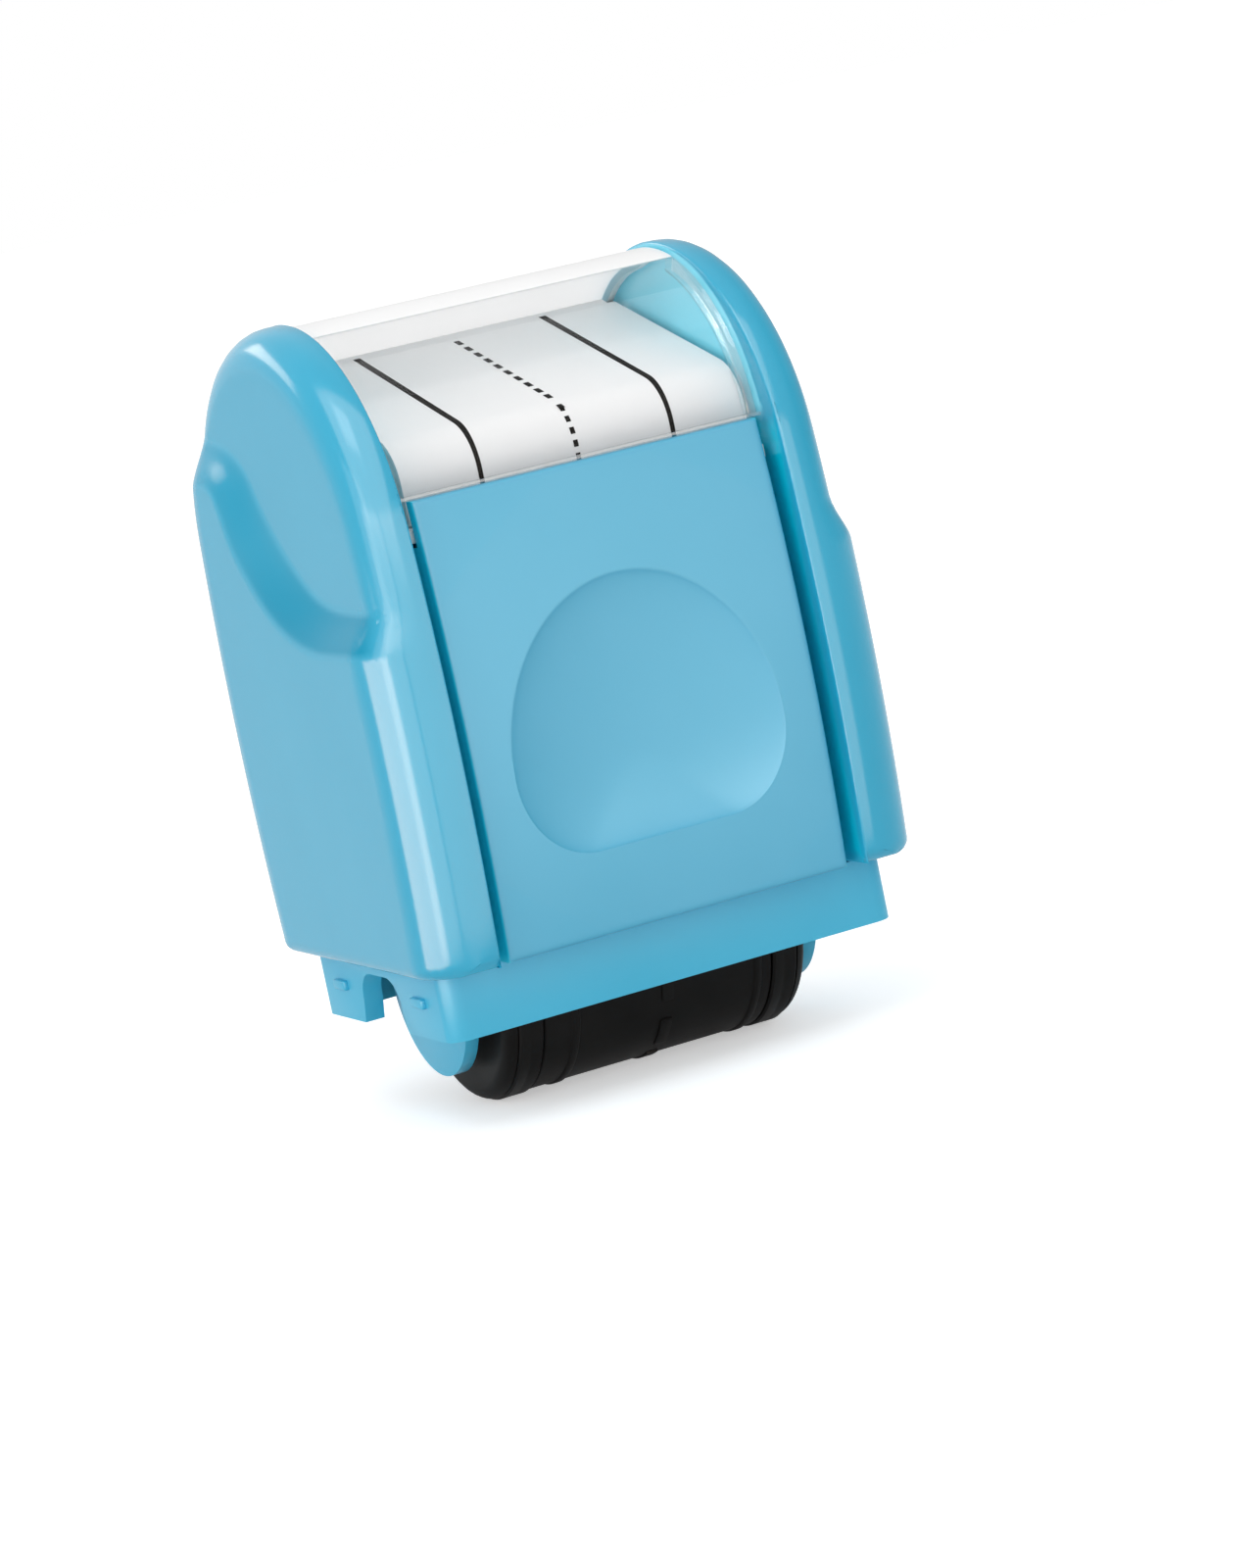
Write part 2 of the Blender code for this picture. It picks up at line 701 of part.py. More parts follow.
def axle_bush(name, side, look):
    """Flanged bush in an ear, bored for the print axle."""
    bore = axle_radius + axle_running_gap
    outer = bore + bush_wall
    face = bush_inner + bush_flange_thickness
    end = tower_half_width - 2 * bush_fit_gap
    profile = [(bush_inner, bore), (bush_inner, bush_flange_radius), (face, bush_flange_radius)]
    profile += [(face, outer), (end, outer), (end, bore)]
    return turned(name, [(side * x, r) for x, r in profile], roller_height, small_steps, look, bored=True)


def stamp_drum(look):
    """Roller drum with end flanges and hub bosses, bored for its axle."""
    bore = axle_radius + axle_press_gap
    rim = drum_half_length - flange_round
    half = [(hub_half_length, bore), (hub_half_length, hub_radius), (drum_half_length, hub_radius)]
    half += arc((rim, flange_radius - flange_round), flange_round, 0, math.pi / 2, corner_steps)
    half += [(flange_inner, flange_radius), (flange_inner, drum_radius)]
    if rim <= flange_inner:
        half = [point for point in half if point[0] >= flange_inner]
    profile = half + [(-x, r) for x, r in reversed(half)]
    return turned("stamp_drum", profile, roller_height, roller_steps, look, bored=True, axis_height=roller_height)


def bearer_ring(name, side, look):
    """Band near a drum end that carries the roller on the paper."""
    bore = drum_radius + ring_bore_gap
    soft = print_radius - ring_round
    profile = [(ring_inner, bore), (ring_inner, soft), (ring_inner + ring_round, print_radius)]
    profile += [(ring_outer - ring_round, print_radius), (ring_outer, soft), (ring_outer, bore)]
    profile = [(side * x, r) for x, r in profile]
    return turned(name, profile, roller_height, roller_steps, look, bored=True, axis_height=roller_height)


def print_sleeve(look):
    """Sleeve with two unbroken line ribs and one dashed rib between them."""
    bore = drum_radius + ring_bore_gap
    stand = print_radius - sleeve_radius
    stations = [(-sleeve_half_length, 0, 0)]
    for line, half in ((-1, rib_half_width), (0, dash_half_width), (1, rib_half_width)):
        middle = print_offset + line * line_spacing
        for offset, share in ((-half - rib_draft, 0), (-half, 1), (half, 1), (half + rib_draft, 0)):
            stations.append((middle + offset, share, line == 0))
    stations.append((sleeve_half_length, 0, 0))
    period = 2 * math.pi / dash_count
    dash = period * dash_share
    soft = rib_draft / print_radius
    turns = []
    for number in range(dash_count):
        middle = -math.pi / 2 - dash_phase + number * period
        for offset, share in (
            (-dash / 2 - soft, 0), (-dash / 2, 1), (0, 1), (dash / 2, 1), (dash / 2 + soft, 0),
        ):
            turns.append((middle + offset, share))
    rows = []
    for x, rib, dashed in stations:
        row = []
        for turn, share in turns:
            radius = sleeve_radius + stand * rib * (share if dashed else 1)
            row.append((x, radius * math.cos(turn), roller_height + radius * math.sin(turn)))
        rows.append(row)
    for x in (sleeve_half_length, -sleeve_half_length):
        rows.append([(x, bore * math.cos(t), roller_height + bore * math.sin(t)) for t, _ in turns])
    return lofted("print_sleeve", rows, look, closed=True, axis_height=roller_height)


def stamp_axle(look):
    """Axle of the print roller, running in both bushes."""
    profile = [(-axle_half_length, axle_radius), (axle_half_length, axle_radius)]
    return turned("stamp_axle", profile, roller_height, small_steps, look, axis_height=roller_height)


def ink_roller(core_look, felt_look, axle_look):
    """Ink roller: an axle, a bored core and a felt sleeve."""
    core_bore = ink_axle_radius + axle_press_gap
    felt_bore = core_radius + core_fit_gap
    core = [(core_half_length, core_bore), (core_half_length, core_radius)]
    core += [(-x, r) for x, r in reversed(core)]
    felt = [(felt_half_length, felt_bore), (felt_half_length, felt_radius)]
    felt += [(-x, r) for x, r in reversed(felt)]
    turned("ink_core", core, ink_height, small_steps, core_look, bored=True, axis_height=ink_height)
    turned("ink_felt", felt, ink_height, small_steps, felt_look, bored=True, axis_height=ink_height)
    axle = [(-ink_axle_half_length, ink_axle_radius), (ink_axle_half_length, ink_axle_radius)]
    turned("ink_axle", axle, ink_height, small_steps, axle_look, axis_height=ink_height)


def ink_cradle(look):
    """Sliding cradle that carries the ink roller between two arms."""
    foot = ink_height - arm_drop
    under = ink_height + cradle_plate_rise
    top = under + cradle_plate
    half = [(0, top), (cradle_half_length, top), (cradle_half_length, under), (arm_outer, under)]
    half += [(arm_outer, foot), (arm_inner, foot), (arm_inner, under)]
    outline = half + [(-x, z) for x, z in reversed(half[1:])]
    cradle = prism("ink_cradle", outline, along_y, -cradle_half_depth, cradle_half_depth, look, ink_height)
    bore = ink_axle_radius + axle_running_gap
    cutters = []
    for side in (-1, 1):
        ends = sorted((side * (arm_inner - cradle_plate), side * (arm_outer + cradle_plate)))
        cutters.append(rod("bore", *ends, bore, 0, ink_height, small_steps, look))
    return reshaped(cradle, cutters, "DIFFERENCE")


def bridge(look):
    """Crossbar through the tower walls, with a post for each spring."""
    low = (-bridge_half_length, -bridge_half_depth, bridge_bottom)
    high = (bridge_half_length, bridge_half_depth, bridge_bottom + bridge_thickness)
    bar = box("bridge", low, high, look)
    posts = []
    for side in (-1, 1):
        outline = [(side * spring_place + x, y) for x, y in circle(post_radius, 0, tiny_steps)]
        low = bridge_bottom - post_length
        posts.append(prism("post", outline, along_z, low, bridge_bottom + bridge_thickness / 2, look))
    return reshaped(bar, posts, "UNION")


def cradle_spring(name, side, look):
    """Coil spring between the bridge and the cradle, a tube along one helix."""
    low = ink_height + cradle_plate_rise + cradle_plate + spring_end_gap + spring_wire
    high = bridge_bottom - spring_end_gap - spring_wire
    count = spring_turns * coil_steps
    loops = []
    for i in range(count + 1):
        turn = 2 * math.pi * i / coil_steps
        z = low + (high - low) * i / count
        loop = []
        for k in range(wire_sides):
            a = 2 * math.pi * k / wire_sides
            radius = spring_radius + spring_wire * math.cos(a)
            x = side * spring_place + radius * math.cos(turn)
            loop.append((x, radius * math.sin(turn), z + spring_wire * math.sin(a)))
        loops.append(loop)
    gap = (high - low) / spring_turns - 2 * spring_wire
    print(f"{name}: least gap between turns {gap * 1000:.2f} mm")
    return lofted(name, loops, look)


body_blue = (0.165, 0.475, 0.640)
frame_blue = (0.085, 0.400, 0.560)
skirt_frame(material("frame_plastic", frame_blue, 0.42))
thumb_panel("front_thumb_panel", -1, material("front_panel_plastic", body_blue, 0.45))
thumb_panel("rear_thumb_panel", 1, material("rear_panel_plastic", body_blue, 0.45))
cheek_cover("left_cheek_cover", -1, material("left_cheek_plastic", body_blue, 0.35))
cheek_cover("right_cheek_cover", 1, material("right_cheek_plastic", body_blue, 0.35))
card_tray(material("tray_plastic", (0.75, 0.75, 0.74), 0.5))
label_card(material("card_paper", (0.80, 0.80, 0.79), 0.6))
clear_window(material("window_plastic", (0.95, 0.97, 0.98), 0.05, 0.0, 1.0))
axle_bush("left_axle_bush", -1, material("left_bush_plastic", (0.80, 0.80, 0.78), 0.4))
axle_bush("right_axle_bush", 1, material("right_bush_plastic", (0.80, 0.80, 0.78), 0.4))
bridge(material("bridge_plastic", (0.70, 0.71, 0.70), 0.45))
stamp_drum(material("drum_plastic", (0.020, 0.020, 0.020), 0.4))
print_sleeve(material("sleeve_rubber", (0.024, 0.023, 0.022), 0.55))
bearer_ring("left_bearer_ring", -1, material("left_ring_rubber", (0.024, 0.023, 0.022), 0.5))
bearer_ring("right_bearer_ring", 1, material("right_ring_rubber", (0.024, 0.023, 0.022), 0.5))
stamp_axle(material("axle_steel", (0.60, 0.61, 0.62), 0.3, 1.0))
ink_cradle(material("cradle_plastic", (0.65, 0.66, 0.66), 0.45))
ink_roller(
    material("core_plastic", (0.55, 0.55, 0.54), 0.45),
    material("ink_felt_cloth", (0.010, 0.010, 0.012), 0.95),
    material("ink_axle_steel", (0.60, 0.61, 0.62), 0.3, 1.0),
)
cradle_spring("left_cradle_spring", -1, material("left_spring_steel", (0.62, 0.63, 0.64), 0.3, 1.0))
cradle_spring("right_cradle_spring", 1, material("right_spring_steel", (0.62, 0.63, 0.64), 0.3, 1.0))
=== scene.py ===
import json
import math

import bmesh
import bpy
import numpy as np
from mathutils import Matrix, Vector
from mathutils.geometry import delaunay_2d_cdt

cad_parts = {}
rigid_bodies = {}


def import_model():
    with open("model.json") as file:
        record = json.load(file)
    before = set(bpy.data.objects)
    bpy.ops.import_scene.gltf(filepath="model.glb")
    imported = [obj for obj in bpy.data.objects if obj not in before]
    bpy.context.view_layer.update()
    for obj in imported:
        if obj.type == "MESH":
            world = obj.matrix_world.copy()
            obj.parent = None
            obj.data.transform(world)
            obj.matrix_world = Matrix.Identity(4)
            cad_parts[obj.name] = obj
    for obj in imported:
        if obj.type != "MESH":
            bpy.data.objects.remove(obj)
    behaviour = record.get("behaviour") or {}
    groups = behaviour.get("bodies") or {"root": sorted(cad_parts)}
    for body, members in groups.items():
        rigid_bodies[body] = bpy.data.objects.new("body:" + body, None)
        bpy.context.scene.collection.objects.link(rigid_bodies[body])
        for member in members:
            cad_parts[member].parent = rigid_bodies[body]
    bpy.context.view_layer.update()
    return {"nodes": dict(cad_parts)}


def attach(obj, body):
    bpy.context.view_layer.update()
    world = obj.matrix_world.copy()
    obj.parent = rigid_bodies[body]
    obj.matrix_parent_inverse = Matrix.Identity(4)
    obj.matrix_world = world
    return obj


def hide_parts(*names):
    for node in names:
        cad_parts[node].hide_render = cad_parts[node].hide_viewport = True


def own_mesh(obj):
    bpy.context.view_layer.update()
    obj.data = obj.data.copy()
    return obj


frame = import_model()
mm = 0.001  # every size below is in millimetres


def around(middle, half):
    return middle - half, middle + half


def setInputs(node, values):
    for key, value in values.items():
        node.inputs[key].default_value = value


def addNode(tree, kind, values={}, **settings):
    node = tree.nodes.new(kind if "Node" in kind else "ShaderNode" + kind)
    for key, value in settings.items():
        setattr(node, key, value)
    setInputs(node, values)
    return node


def wire(tree, *row):
    # Joins a row of nodes: a node, its output, the next one's input, the next node, its output and so on
    for i in range(0, len(row) - 1, 3):
        node, output, socket, following = row[i:i + 4]
        tree.links.new(node.outputs[output], following.inputs[socket])


def nodeMaterial(name, values={}):
    made = bpy.data.materials.new(name)
    made.use_nodes = True
    shader = made.node_tree.nodes["Principled BSDF"]
    setInputs(shader, values)
    return made, made.node_tree, shader


def mapRange(tree, given, wanted, **settings):
    keys = ("From Min", "From Max", "To Min", "To Max")
    return addNode(tree, "MapRange", dict(zip(keys, (*given, *wanted))), **settings)


def addNoise(tree, scale, detail, roughness=0.5, stretch=None):
    # Noise that keeps its place on the piece
    row = [addNode(tree, "TexCoord"), "Object", "Vector"]
    if stretch:
        row += [addNode(tree, "Mapping", {"Scale": stretch}), "Vector", "Vector"]
    noise = addNode(tree, "TexNoise", {"Scale": scale, "Detail": detail, "Roughness": roughness})
    wire(tree, *row, noise)
    return noise


def toneRamp(tree, noise, tones, places=(0.0, 1.0)):
    ramp = addNode(tree, "ValToRGB")
    for stop, tone, place in zip(ramp.color_ramp.elements, tones, places):
        stop.position, stop.color = place, (*tone, 1)
    wire(tree, noise, "Fac", "Fac", ramp)
    return ramp.outputs["Color"]


def addBump(tree, noise, shader, strength, distance):
    bump = addNode(tree, "Bump", {"Strength": strength, "Distance": distance})
    wire(tree, noise, "Fac", "Height", bump, "Normal", "Normal", shader)


def marked(tree, mark, tone, markedTone):
    # Tone that turns into another where the piece's own attribute says so
    mix = addNode(tree, "Mix", {"B": (*markedTone, 1)}, data_type="RGBA")
    wire(tree, addNode(tree, "Attribute", attribute_name=mark), "Fac", "Factor", mix)
    tree.links.new(tone, mix.inputs["A"])
    return mix.outputs["Result"]


def grey(*levels):
    return [(level,) * 3 for level in levels]


def mouldedPlastic(name, own):
    # Moulded plastic: faint tone drift, a fine spark-eroded grain and uneven gloss
    look = {**plasticBase, **own}
    made, tree, shader = nodeMaterial(name, {"Specular IOR Level": look["shine"]})
    drift, grain = addNoise(tree, look["driftScale"], 3.0), addNoise(tree, look["grainScale"], 2.0)
    tone = toneRamp(tree, drift, look["tones"], look["driftRange"])
    # The marked tones are painted light and shade: shade in the gaps and on the scoop wall, light on the cheeks' inner
    # face inside the window
    for mark in ("hollow", "slope", "ends"):
        if mark in look:
            tone = marked(tree, mark, tone, look[mark])
    tree.links.new(tone, shader.inputs["Base Color"])
    if "slope" in look:  # the painted shade on the scoop wall also gets duller gloss
        dull = mapRange(tree, (0.0, 1.0), (look["shine"], look["slopeShine"] * look["shine"]))
        wire(tree, addNode(tree, "Attribute", attribute_name="slope"), "Fac", "Value", dull,
             "Result", "Specular IOR Level", shader)
    gloss = mapRange(tree, look["driftRange"], around(look["roughness"], look["uneven"]))
    wire(tree, drift, "Fac", "Value", gloss, "Result", "Roughness", shader)
    addBump(tree, grain, shader, look["grain"], look["grainHeight"])
    if "through" in look:  # light passes on through a thin wall
        setInputs(shader, {"Subsurface Weight": 1.0, "Subsurface Radius": (1.0, 1.0, 1.0),
                           "Subsurface Scale": look["through"]})
    return made


plasticBase = {"roughness": 0.45, "uneven": 0.03, "grainScale": 2600, "grain": 0.05, "grainHeight": 0.00005,
               "shine": 0.5, "driftScale": 60, "driftRange": (0.3, 0.7)}
plastics = {
    # cheek: the hollow tone is painted shade in the gap beside the panels, the slope tone is painted shade on the
    # scoop wall, the ends tone is painted light on the inner face inside the window
    "cheek": {"tones": [(0.018, 0.362, 0.556), (0.026, 0.378, 0.576)], "roughness": 0.17, "uneven": 0.015,
              "grainScale": 3200, "grain": 0.02, "hollow": (0.001, 0.56, 0.74), "slope": (0.000, 0.275, 0.440),
              "slopeShine": 0.3, "ends": (0.24, 0.78, 0.95)},
    # panel: the hollow tone is painted shade on its side edges, in the gap
    "panel": {"tones": [(0.048, 0.352, 0.535), (0.060, 0.367, 0.555)], "roughness": 0.46, "grain": 0.08,
              "hollow": (0.001, 0.56, 0.74)},
    "skirt": {"tones": [(0.050, 0.448, 0.660), (0.062, 0.463, 0.680)], "roughness": 0.34, "uneven": 0.02,
              "grainScale": 3200, "grain": 0.03, "shine": 0.33},
    "inkedBlack": {"tones": [(0.0050, 0.0048, 0.0046), (0.0085, 0.0080, 0.0078)], "roughness": 0.38, "uneven": 0.05,
                   "grainScale": 2200, "grain": 0.10, "driftScale": 240, "shine": 0.10},
    "drumBlack": {"tones": [(0.006, 0.0058, 0.0056), (0.0095, 0.009, 0.0088)], "roughness": 0.42, "uneven": 0.04,
                  "grain": 0.06, "driftScale": 200, "shine": 0.08},
    "windowWhite": {"tones": grey(0.88, 0.91), "roughness": 0.30, "grain": 0.02, "shine": 0.35},
    # The lining is the inside of the same white wall: the light scattered through the wall is real, and its tone,
    # lighter than the outside's, is painted light
    "windowLining": {"tones": grey(0.95, 0.97), "roughness": 0.40, "grain": 0.02, "shine": 0.2, "through": 0.05},
    "bushWhite": {"tones": [(0.62, 0.62, 0.60), (0.68, 0.68, 0.66)], "roughness": 0.4},
    "trayWhite": {"tones": grey(0.70, 0.74)},
    "mechanismGrey": {"tones": [(0.42, 0.43, 0.44), (0.47, 0.48, 0.49)]},
}
fibres = {
    # The rear tone of the card paper is painted light: whiter where the cover's back shades the card
    "cardPaper": {"noise": (900.0, 5.0, 0.7), "tones": grey(0.850, 0.875), "rear": (0.985, 0.985, 0.985),
                  "bump": (0.06, 0.00005), "roughness": 0.62, "shine": 0.5},  # smooth white card
    "printedInk": {"noise": (1400.0, 3.0), "tones": grey(0.004, 0.010), "roughness": 0.7, "shine": 0.08},
    "inkFelt": {"noise": (3500.0, 6.0, 0.75), "tones": [(0.004, 0.004, 0.005), (0.018, 0.018, 0.022)],
                "bump": (0.6, 0.0002), "roughness": 0.95, "shine": 0.5},  # dense, soaked with black ink
}


def fibreMatter(name, look):
    # Card, print or felt: one noise gives the tone and the relief
    made, tree, shader = nodeMaterial(name, {"Roughness": look["roughness"], "Specular IOR Level": look["shine"]})
    fibre = addNoise(tree, *look["noise"])
    tone = toneRamp(tree, fibre, look["tones"])
    if "rear" in look:
        tone = marked(tree, "rear", tone, look["rear"])
    tree.links.new(tone, shader.inputs["Base Color"])
    if "bump" in look:
        addBump(tree, fibre, shader, *look["bump"])
    return made


clearBase = {"ior": 1.50, "mirrorTone": (0.82, 0.82, 0.82, 1), "roughness": 0.05, "ripple": (90.0, 1.0),
             "bump": (0.03, 0.0001), "coat": ((0.035, 1.0), (0.0, 1.1))}  # hardly mirrors seen straight on
clears = {"clearPlastic": {"tint": (0.99, 0.99, 0.99, 1), "leastMirror": 0.0},
          "clearEdge": {"tint": (0.97, 0.98, 0.98, 1), "leastMirror": 0.30}}


def clearPlastic(name, own):
    # Thin clear moulding: light passes straight through, and the outer side of each face mirrors at a slant
    look = {**clearBase, **own}
    made, tree, shader = nodeMaterial(name)
    tree.nodes.remove(shader)
    outward = addNode(tree, "Math", {0: 1.0}, operation="SUBTRACT")
    share = addNode(tree, "Math", operation="MULTIPLY")
    coated = mapRange(tree, *look["coat"])
    lifted = addNode(tree, "Math", {1: look["leastMirror"]}, operation="MAXIMUM")
    through = addNode(tree, "BsdfTransparent", {"Color": look["tint"]})
    mirror = addNode(tree, "BsdfGlossy", {"Color": look["mirrorTone"], "Roughness": look["roughness"]})
    mix = addNode(tree, "MixShader")
    addBump(tree, addNoise(tree, *look["ripple"]), mirror, *look["bump"])
    wire(tree, addNode(tree, "NewGeometry"), "Backfacing", 1, outward, "Value", 1, share)
    wire(tree, addNode(tree, "Fresnel", {"IOR": look["ior"]}), "Fac", 0, share, "Value", "Value", coated,
         "Result", 0, lifted, "Value", "Fac", mix)
    wire(tree, through, "BSDF", 1, mix)
    wire(tree, mirror, "BSDF", 2, mix, "Shader", "Surface", tree.nodes["Material Output"])
    return made


steelBase = {"tone": (0.60, 0.61, 0.62, 1), "uneven": 0.08, "latheMarks": (6000.0, 120.0, 120.0)}
steels = {"axleSteel": {"roughness": 0.28}, "springSteel": {"roughness": 0.32}}


def turnedSteel(name, own):
    # Bright steel with fine lathe marks round its axis
    look = {**steelBase, **own}
    made, tree, shader = nodeMaterial(name, {"Base Color": look["tone"], "Metallic": 1.0})
    marks = addNoise(tree, 1.0, 3.0, stretch=look["latheMarks"])
    gloss = mapRange(tree, (0.0, 1.0), around(look["roughness"], look["uneven"]))
    wire(tree, marks, "Fac", "Value", gloss, "Result", "Roughness", shader)
    return made


finish = {}
for make, looks in ((mouldedPlastic, plastics), (fibreMatter, fibres), (clearPlastic, clears), (turnedSteel, steels)):
    finish.update({name: make(name, look) for name, look in looks.items()})
print("materials made")


def newPiece(name, points, edges, faces):
    mesh = bpy.data.meshes.new(name)
    mesh.from_pydata([(x * mm, y * mm, z * mm) for x, y, z in points], edges, faces)
    piece = bpy.data.objects.new(name, mesh)
    bpy.context.scene.collection.objects.link(piece)
    return piece


def shadeSoft(piece, creaseAngle=35.0):
    piece.data.shade_smooth()
    piece.data.set_sharp_from_angle(angle=math.radians(creaseAngle))


def addPiece(name, points, faces, look, creaseAngle=35.0):
    piece = newPiece(name, points, [], faces)
    body = bmesh.new()
    body.from_mesh(piece.data)
    bmesh.ops.remove_doubles(body, verts=body.verts[:], dist=1e-7)
    bmesh.ops.recalc_face_normals(body, faces=body.faces[:])
    body.to_mesh(piece.data)
    body.free()
    piece.data.materials.append(finish[look])
    shadeSoft(piece, creaseAngle)
    return piece


def seat(piece, body, node, replaced=False):
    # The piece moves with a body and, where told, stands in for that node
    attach(piece, body)
    if replaced:
        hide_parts(node)


def bake(piece):
    # Makes the modifiers part of the mesh
    bpy.context.view_layer.update()
    graph = bpy.context.evaluated_depsgraph_get()
    mesh = bpy.data.meshes.new_from_object(piece.evaluated_get(graph))
    piece.modifiers.clear()
    piece.data = mesh


def cutWith(piece, cutters, operation="DIFFERENCE"):
    for cutter in cutters:
        change = piece.modifiers.new("cut", "BOOLEAN")
        change.operation, change.solver, change.object = operation, "EXACT", cutter
    bake(piece)
    for cutter in cutters:
        bpy.data.objects.remove(cutter)


def softEdges(piece, width, segments):
    bevel = piece.modifiers.new("softEdges", "BEVEL")
    bevel.width, bevel.segments, bevel.limit_method = width * mm, segments, "ANGLE"
    bevel.angle_limit = math.radians(40)
    bake(piece)
    shadeSoft(piece)


def arcPoints(centre, radius, start, end, steps):
    turns = [start + (end - start) * i / steps for i in range(steps + 1)]
    return [(centre[0] + radius * math.cos(a), centre[1] + radius * math.sin(a)) for a in turns]


def circlePoints(centre, radius, steps):
    return arcPoints(centre, radius, 0, 2 * math.pi, steps)[:-1]


def roundedBox(halfA, halfB, radius, steps=8):
    points = []
    for turn, (a, b) in enumerate(((1, 1), (-1, 1), (-1, -1), (1, -1))):
        start = turn * math.pi / 2
        points += arcPoints((a * (halfA - radius), b * (halfB - radius)), radius, start, start + math.pi / 2, steps)
    return points


def loftLoops(loops, closed=False):
    # Points and faces through loops of equal counts, capped unless closed
    count = len(loops[0])
    points = [point for loop in loops for point in loop]
    rows = [range(i * count, (i + 1) * count) for i in range(len(loops))]
    pairs = list(zip(rows, rows[1:])) + ([(rows[-1], rows[0])] if closed else [])
    faces = [] if closed else [tuple(reversed(rows[0])), tuple(rows[-1])]
    for low, high in pairs:
        faces += [(low[i], low[(i + 1) % count], high[(i + 1) % count], high[i]) for i in range(count)]
    return points, faces


def prismX(name, outline, low, high, look):
    return addPiece(name, *loftLoops([[(x, a, b) for a, b in outline] for x in (low, high)]), look)


def boxPiece(name, across, along, up, look):
    (x0, x1), (y0, y1) = across, along
    loop = [(x0, y0), (x1, y0), (x1, y1), (x0, y1)]
    return addPiece(name, *loftLoops([[(a, b, z) for a, b in loop] for z in up]), look)


def latheX(name, profile, height, steps, look):
    # Closed (x, radius) profile turned about a line along X
    turns = [2 * math.pi * i / steps for i in range(steps)]
    loops = [[(x, r * math.cos(a), height + r * math.sin(a)) for a in turns] for x, r in profile]
    return addPiece(name, *loftLoops(loops, closed=True), look)


def sideSpan(side, a, b):
    # Two distances from the middle as a span along X on one side
    return sorted((side * a, side * b))


def triangulate(outline, lines, loose):
    # Triangles inside an outline that keep its points, the lines and the loose points
    points = [Vector(p) for p in outline]
    edges = [(i, (i + 1) % len(outline)) for i in range(len(outline))]
    for line in lines:
        first = len(points)
        points += [Vector(p) for p in line]
        edges += [(first + i, first + i + 1) for i in range(len(line) - 1)]
    points += [Vector(p) for p in loose]
    points, _, faces, *_ = delaunay_2d_cdt(points, edges, [], 1, 1e-5)
    return np.array([tuple(p) for p in points]), faces


def reliefPiece(name, outline, lines, loose, backLines, front, back, place, look):
    # Closed shell between two height surfaces over one outline
    top, topFaces = triangulate(outline, lines, loose)
    base, baseFaces = triangulate(outline, backLines, [])
    points = [place(a, b, w) for (a, b), w in zip(top, front(top))]
    shift, count = len(points), len(outline)
    points += [place(a, b, w) for (a, b), w in zip(base, back(base))]
    faces = [tuple(f) for f in topFaces] + [tuple(shift + i for i in reversed(f)) for f in baseFaces]
    faces += [((i + 1) % count, i, shift + i, shift + (i + 1) % count) for i in range(count)]
    return addPiece(name, points, faces, look, 40.0)


def alongLine(points, pick):
    # Points of a line at the lengths that are picked from its whole length
    run = np.concatenate([[0], np.cumsum(np.hypot(*np.diff(points, axis=0).T))])
    at = pick(run[-1])
    return np.stack([np.interp(at, run, points[:, 0]), np.interp(at, run, points[:, 1])], axis=1)


def smoothLine(points, spacing=0.35):
    # Evenly spaced points on a soft curve through a few points
    points = np.array(points, float)
    for _ in range(3):
        cut = np.empty((2 * len(points) - 2, 2))
        cut[0::2] = 0.75 * points[:-1] + 0.25 * points[1:]
        cut[1::2] = 0.25 * points[:-1] + 0.75 * points[1:]
        points = np.concatenate([points[:1], cut, points[-1:]])
    return alongLine(points, lambda length: np.linspace(0, length, int(length / spacing) + 2))


def lineDistance(line, spots):
    # Distance from each spot to an open line
    start, run = line[:-1], np.diff(line, axis=0)
    away = spots[:, None, :] - start[None]
    share = np.clip((away * run).sum(2) / (run ** 2).sum(1), 0, 1)
    return np.sqrt(((away - share[..., None] * run) ** 2).sum(2).min(1))


def overLine(line, spots):
    # How far each spot is above a line
    return spots[:, 1] - np.interp(spots[:, 0], *line.T)


def evenGrid(across, up, pitch):
    return np.stack(np.meshgrid(np.arange(*across, pitch), np.arange(*up, pitch)), -1).reshape(-1, 2)


def keptApart(loose, lines, gap):
    # The loose points that are further than a gap from every point of the lines
    fixed = np.concatenate([np.array(line) for line in lines])
    near = [np.hypot(*(fixed - spot).T).min() for spot in loose]
    return loose[np.array(near) > gap]


def eased(share):
    return share * share * (3 - 2 * share)


def fadeOut(value, full, none):
    # 1 at full and beyond, 0 at none and beyond, soft between them
    return eased(np.clip((value - none) / (full - none), 0, 1))


def markPoints(piece, mark, share):
    # Writes a share from 0 to 1 for each point of a piece
    spots = np.array([tuple(vertex.co) for vertex in piece.data.vertices]) / mm
    layer = piece.data.attributes.new(mark, "FLOAT", "POINT")
    layer.data.foreach_set("value", share(spots).astype(np.float32))


def quarterRound(radius, inset):
    left = radius - np.clip(inset, 0, radius)
    return np.sqrt(np.maximum(0, radius ** 2 - left ** 2))


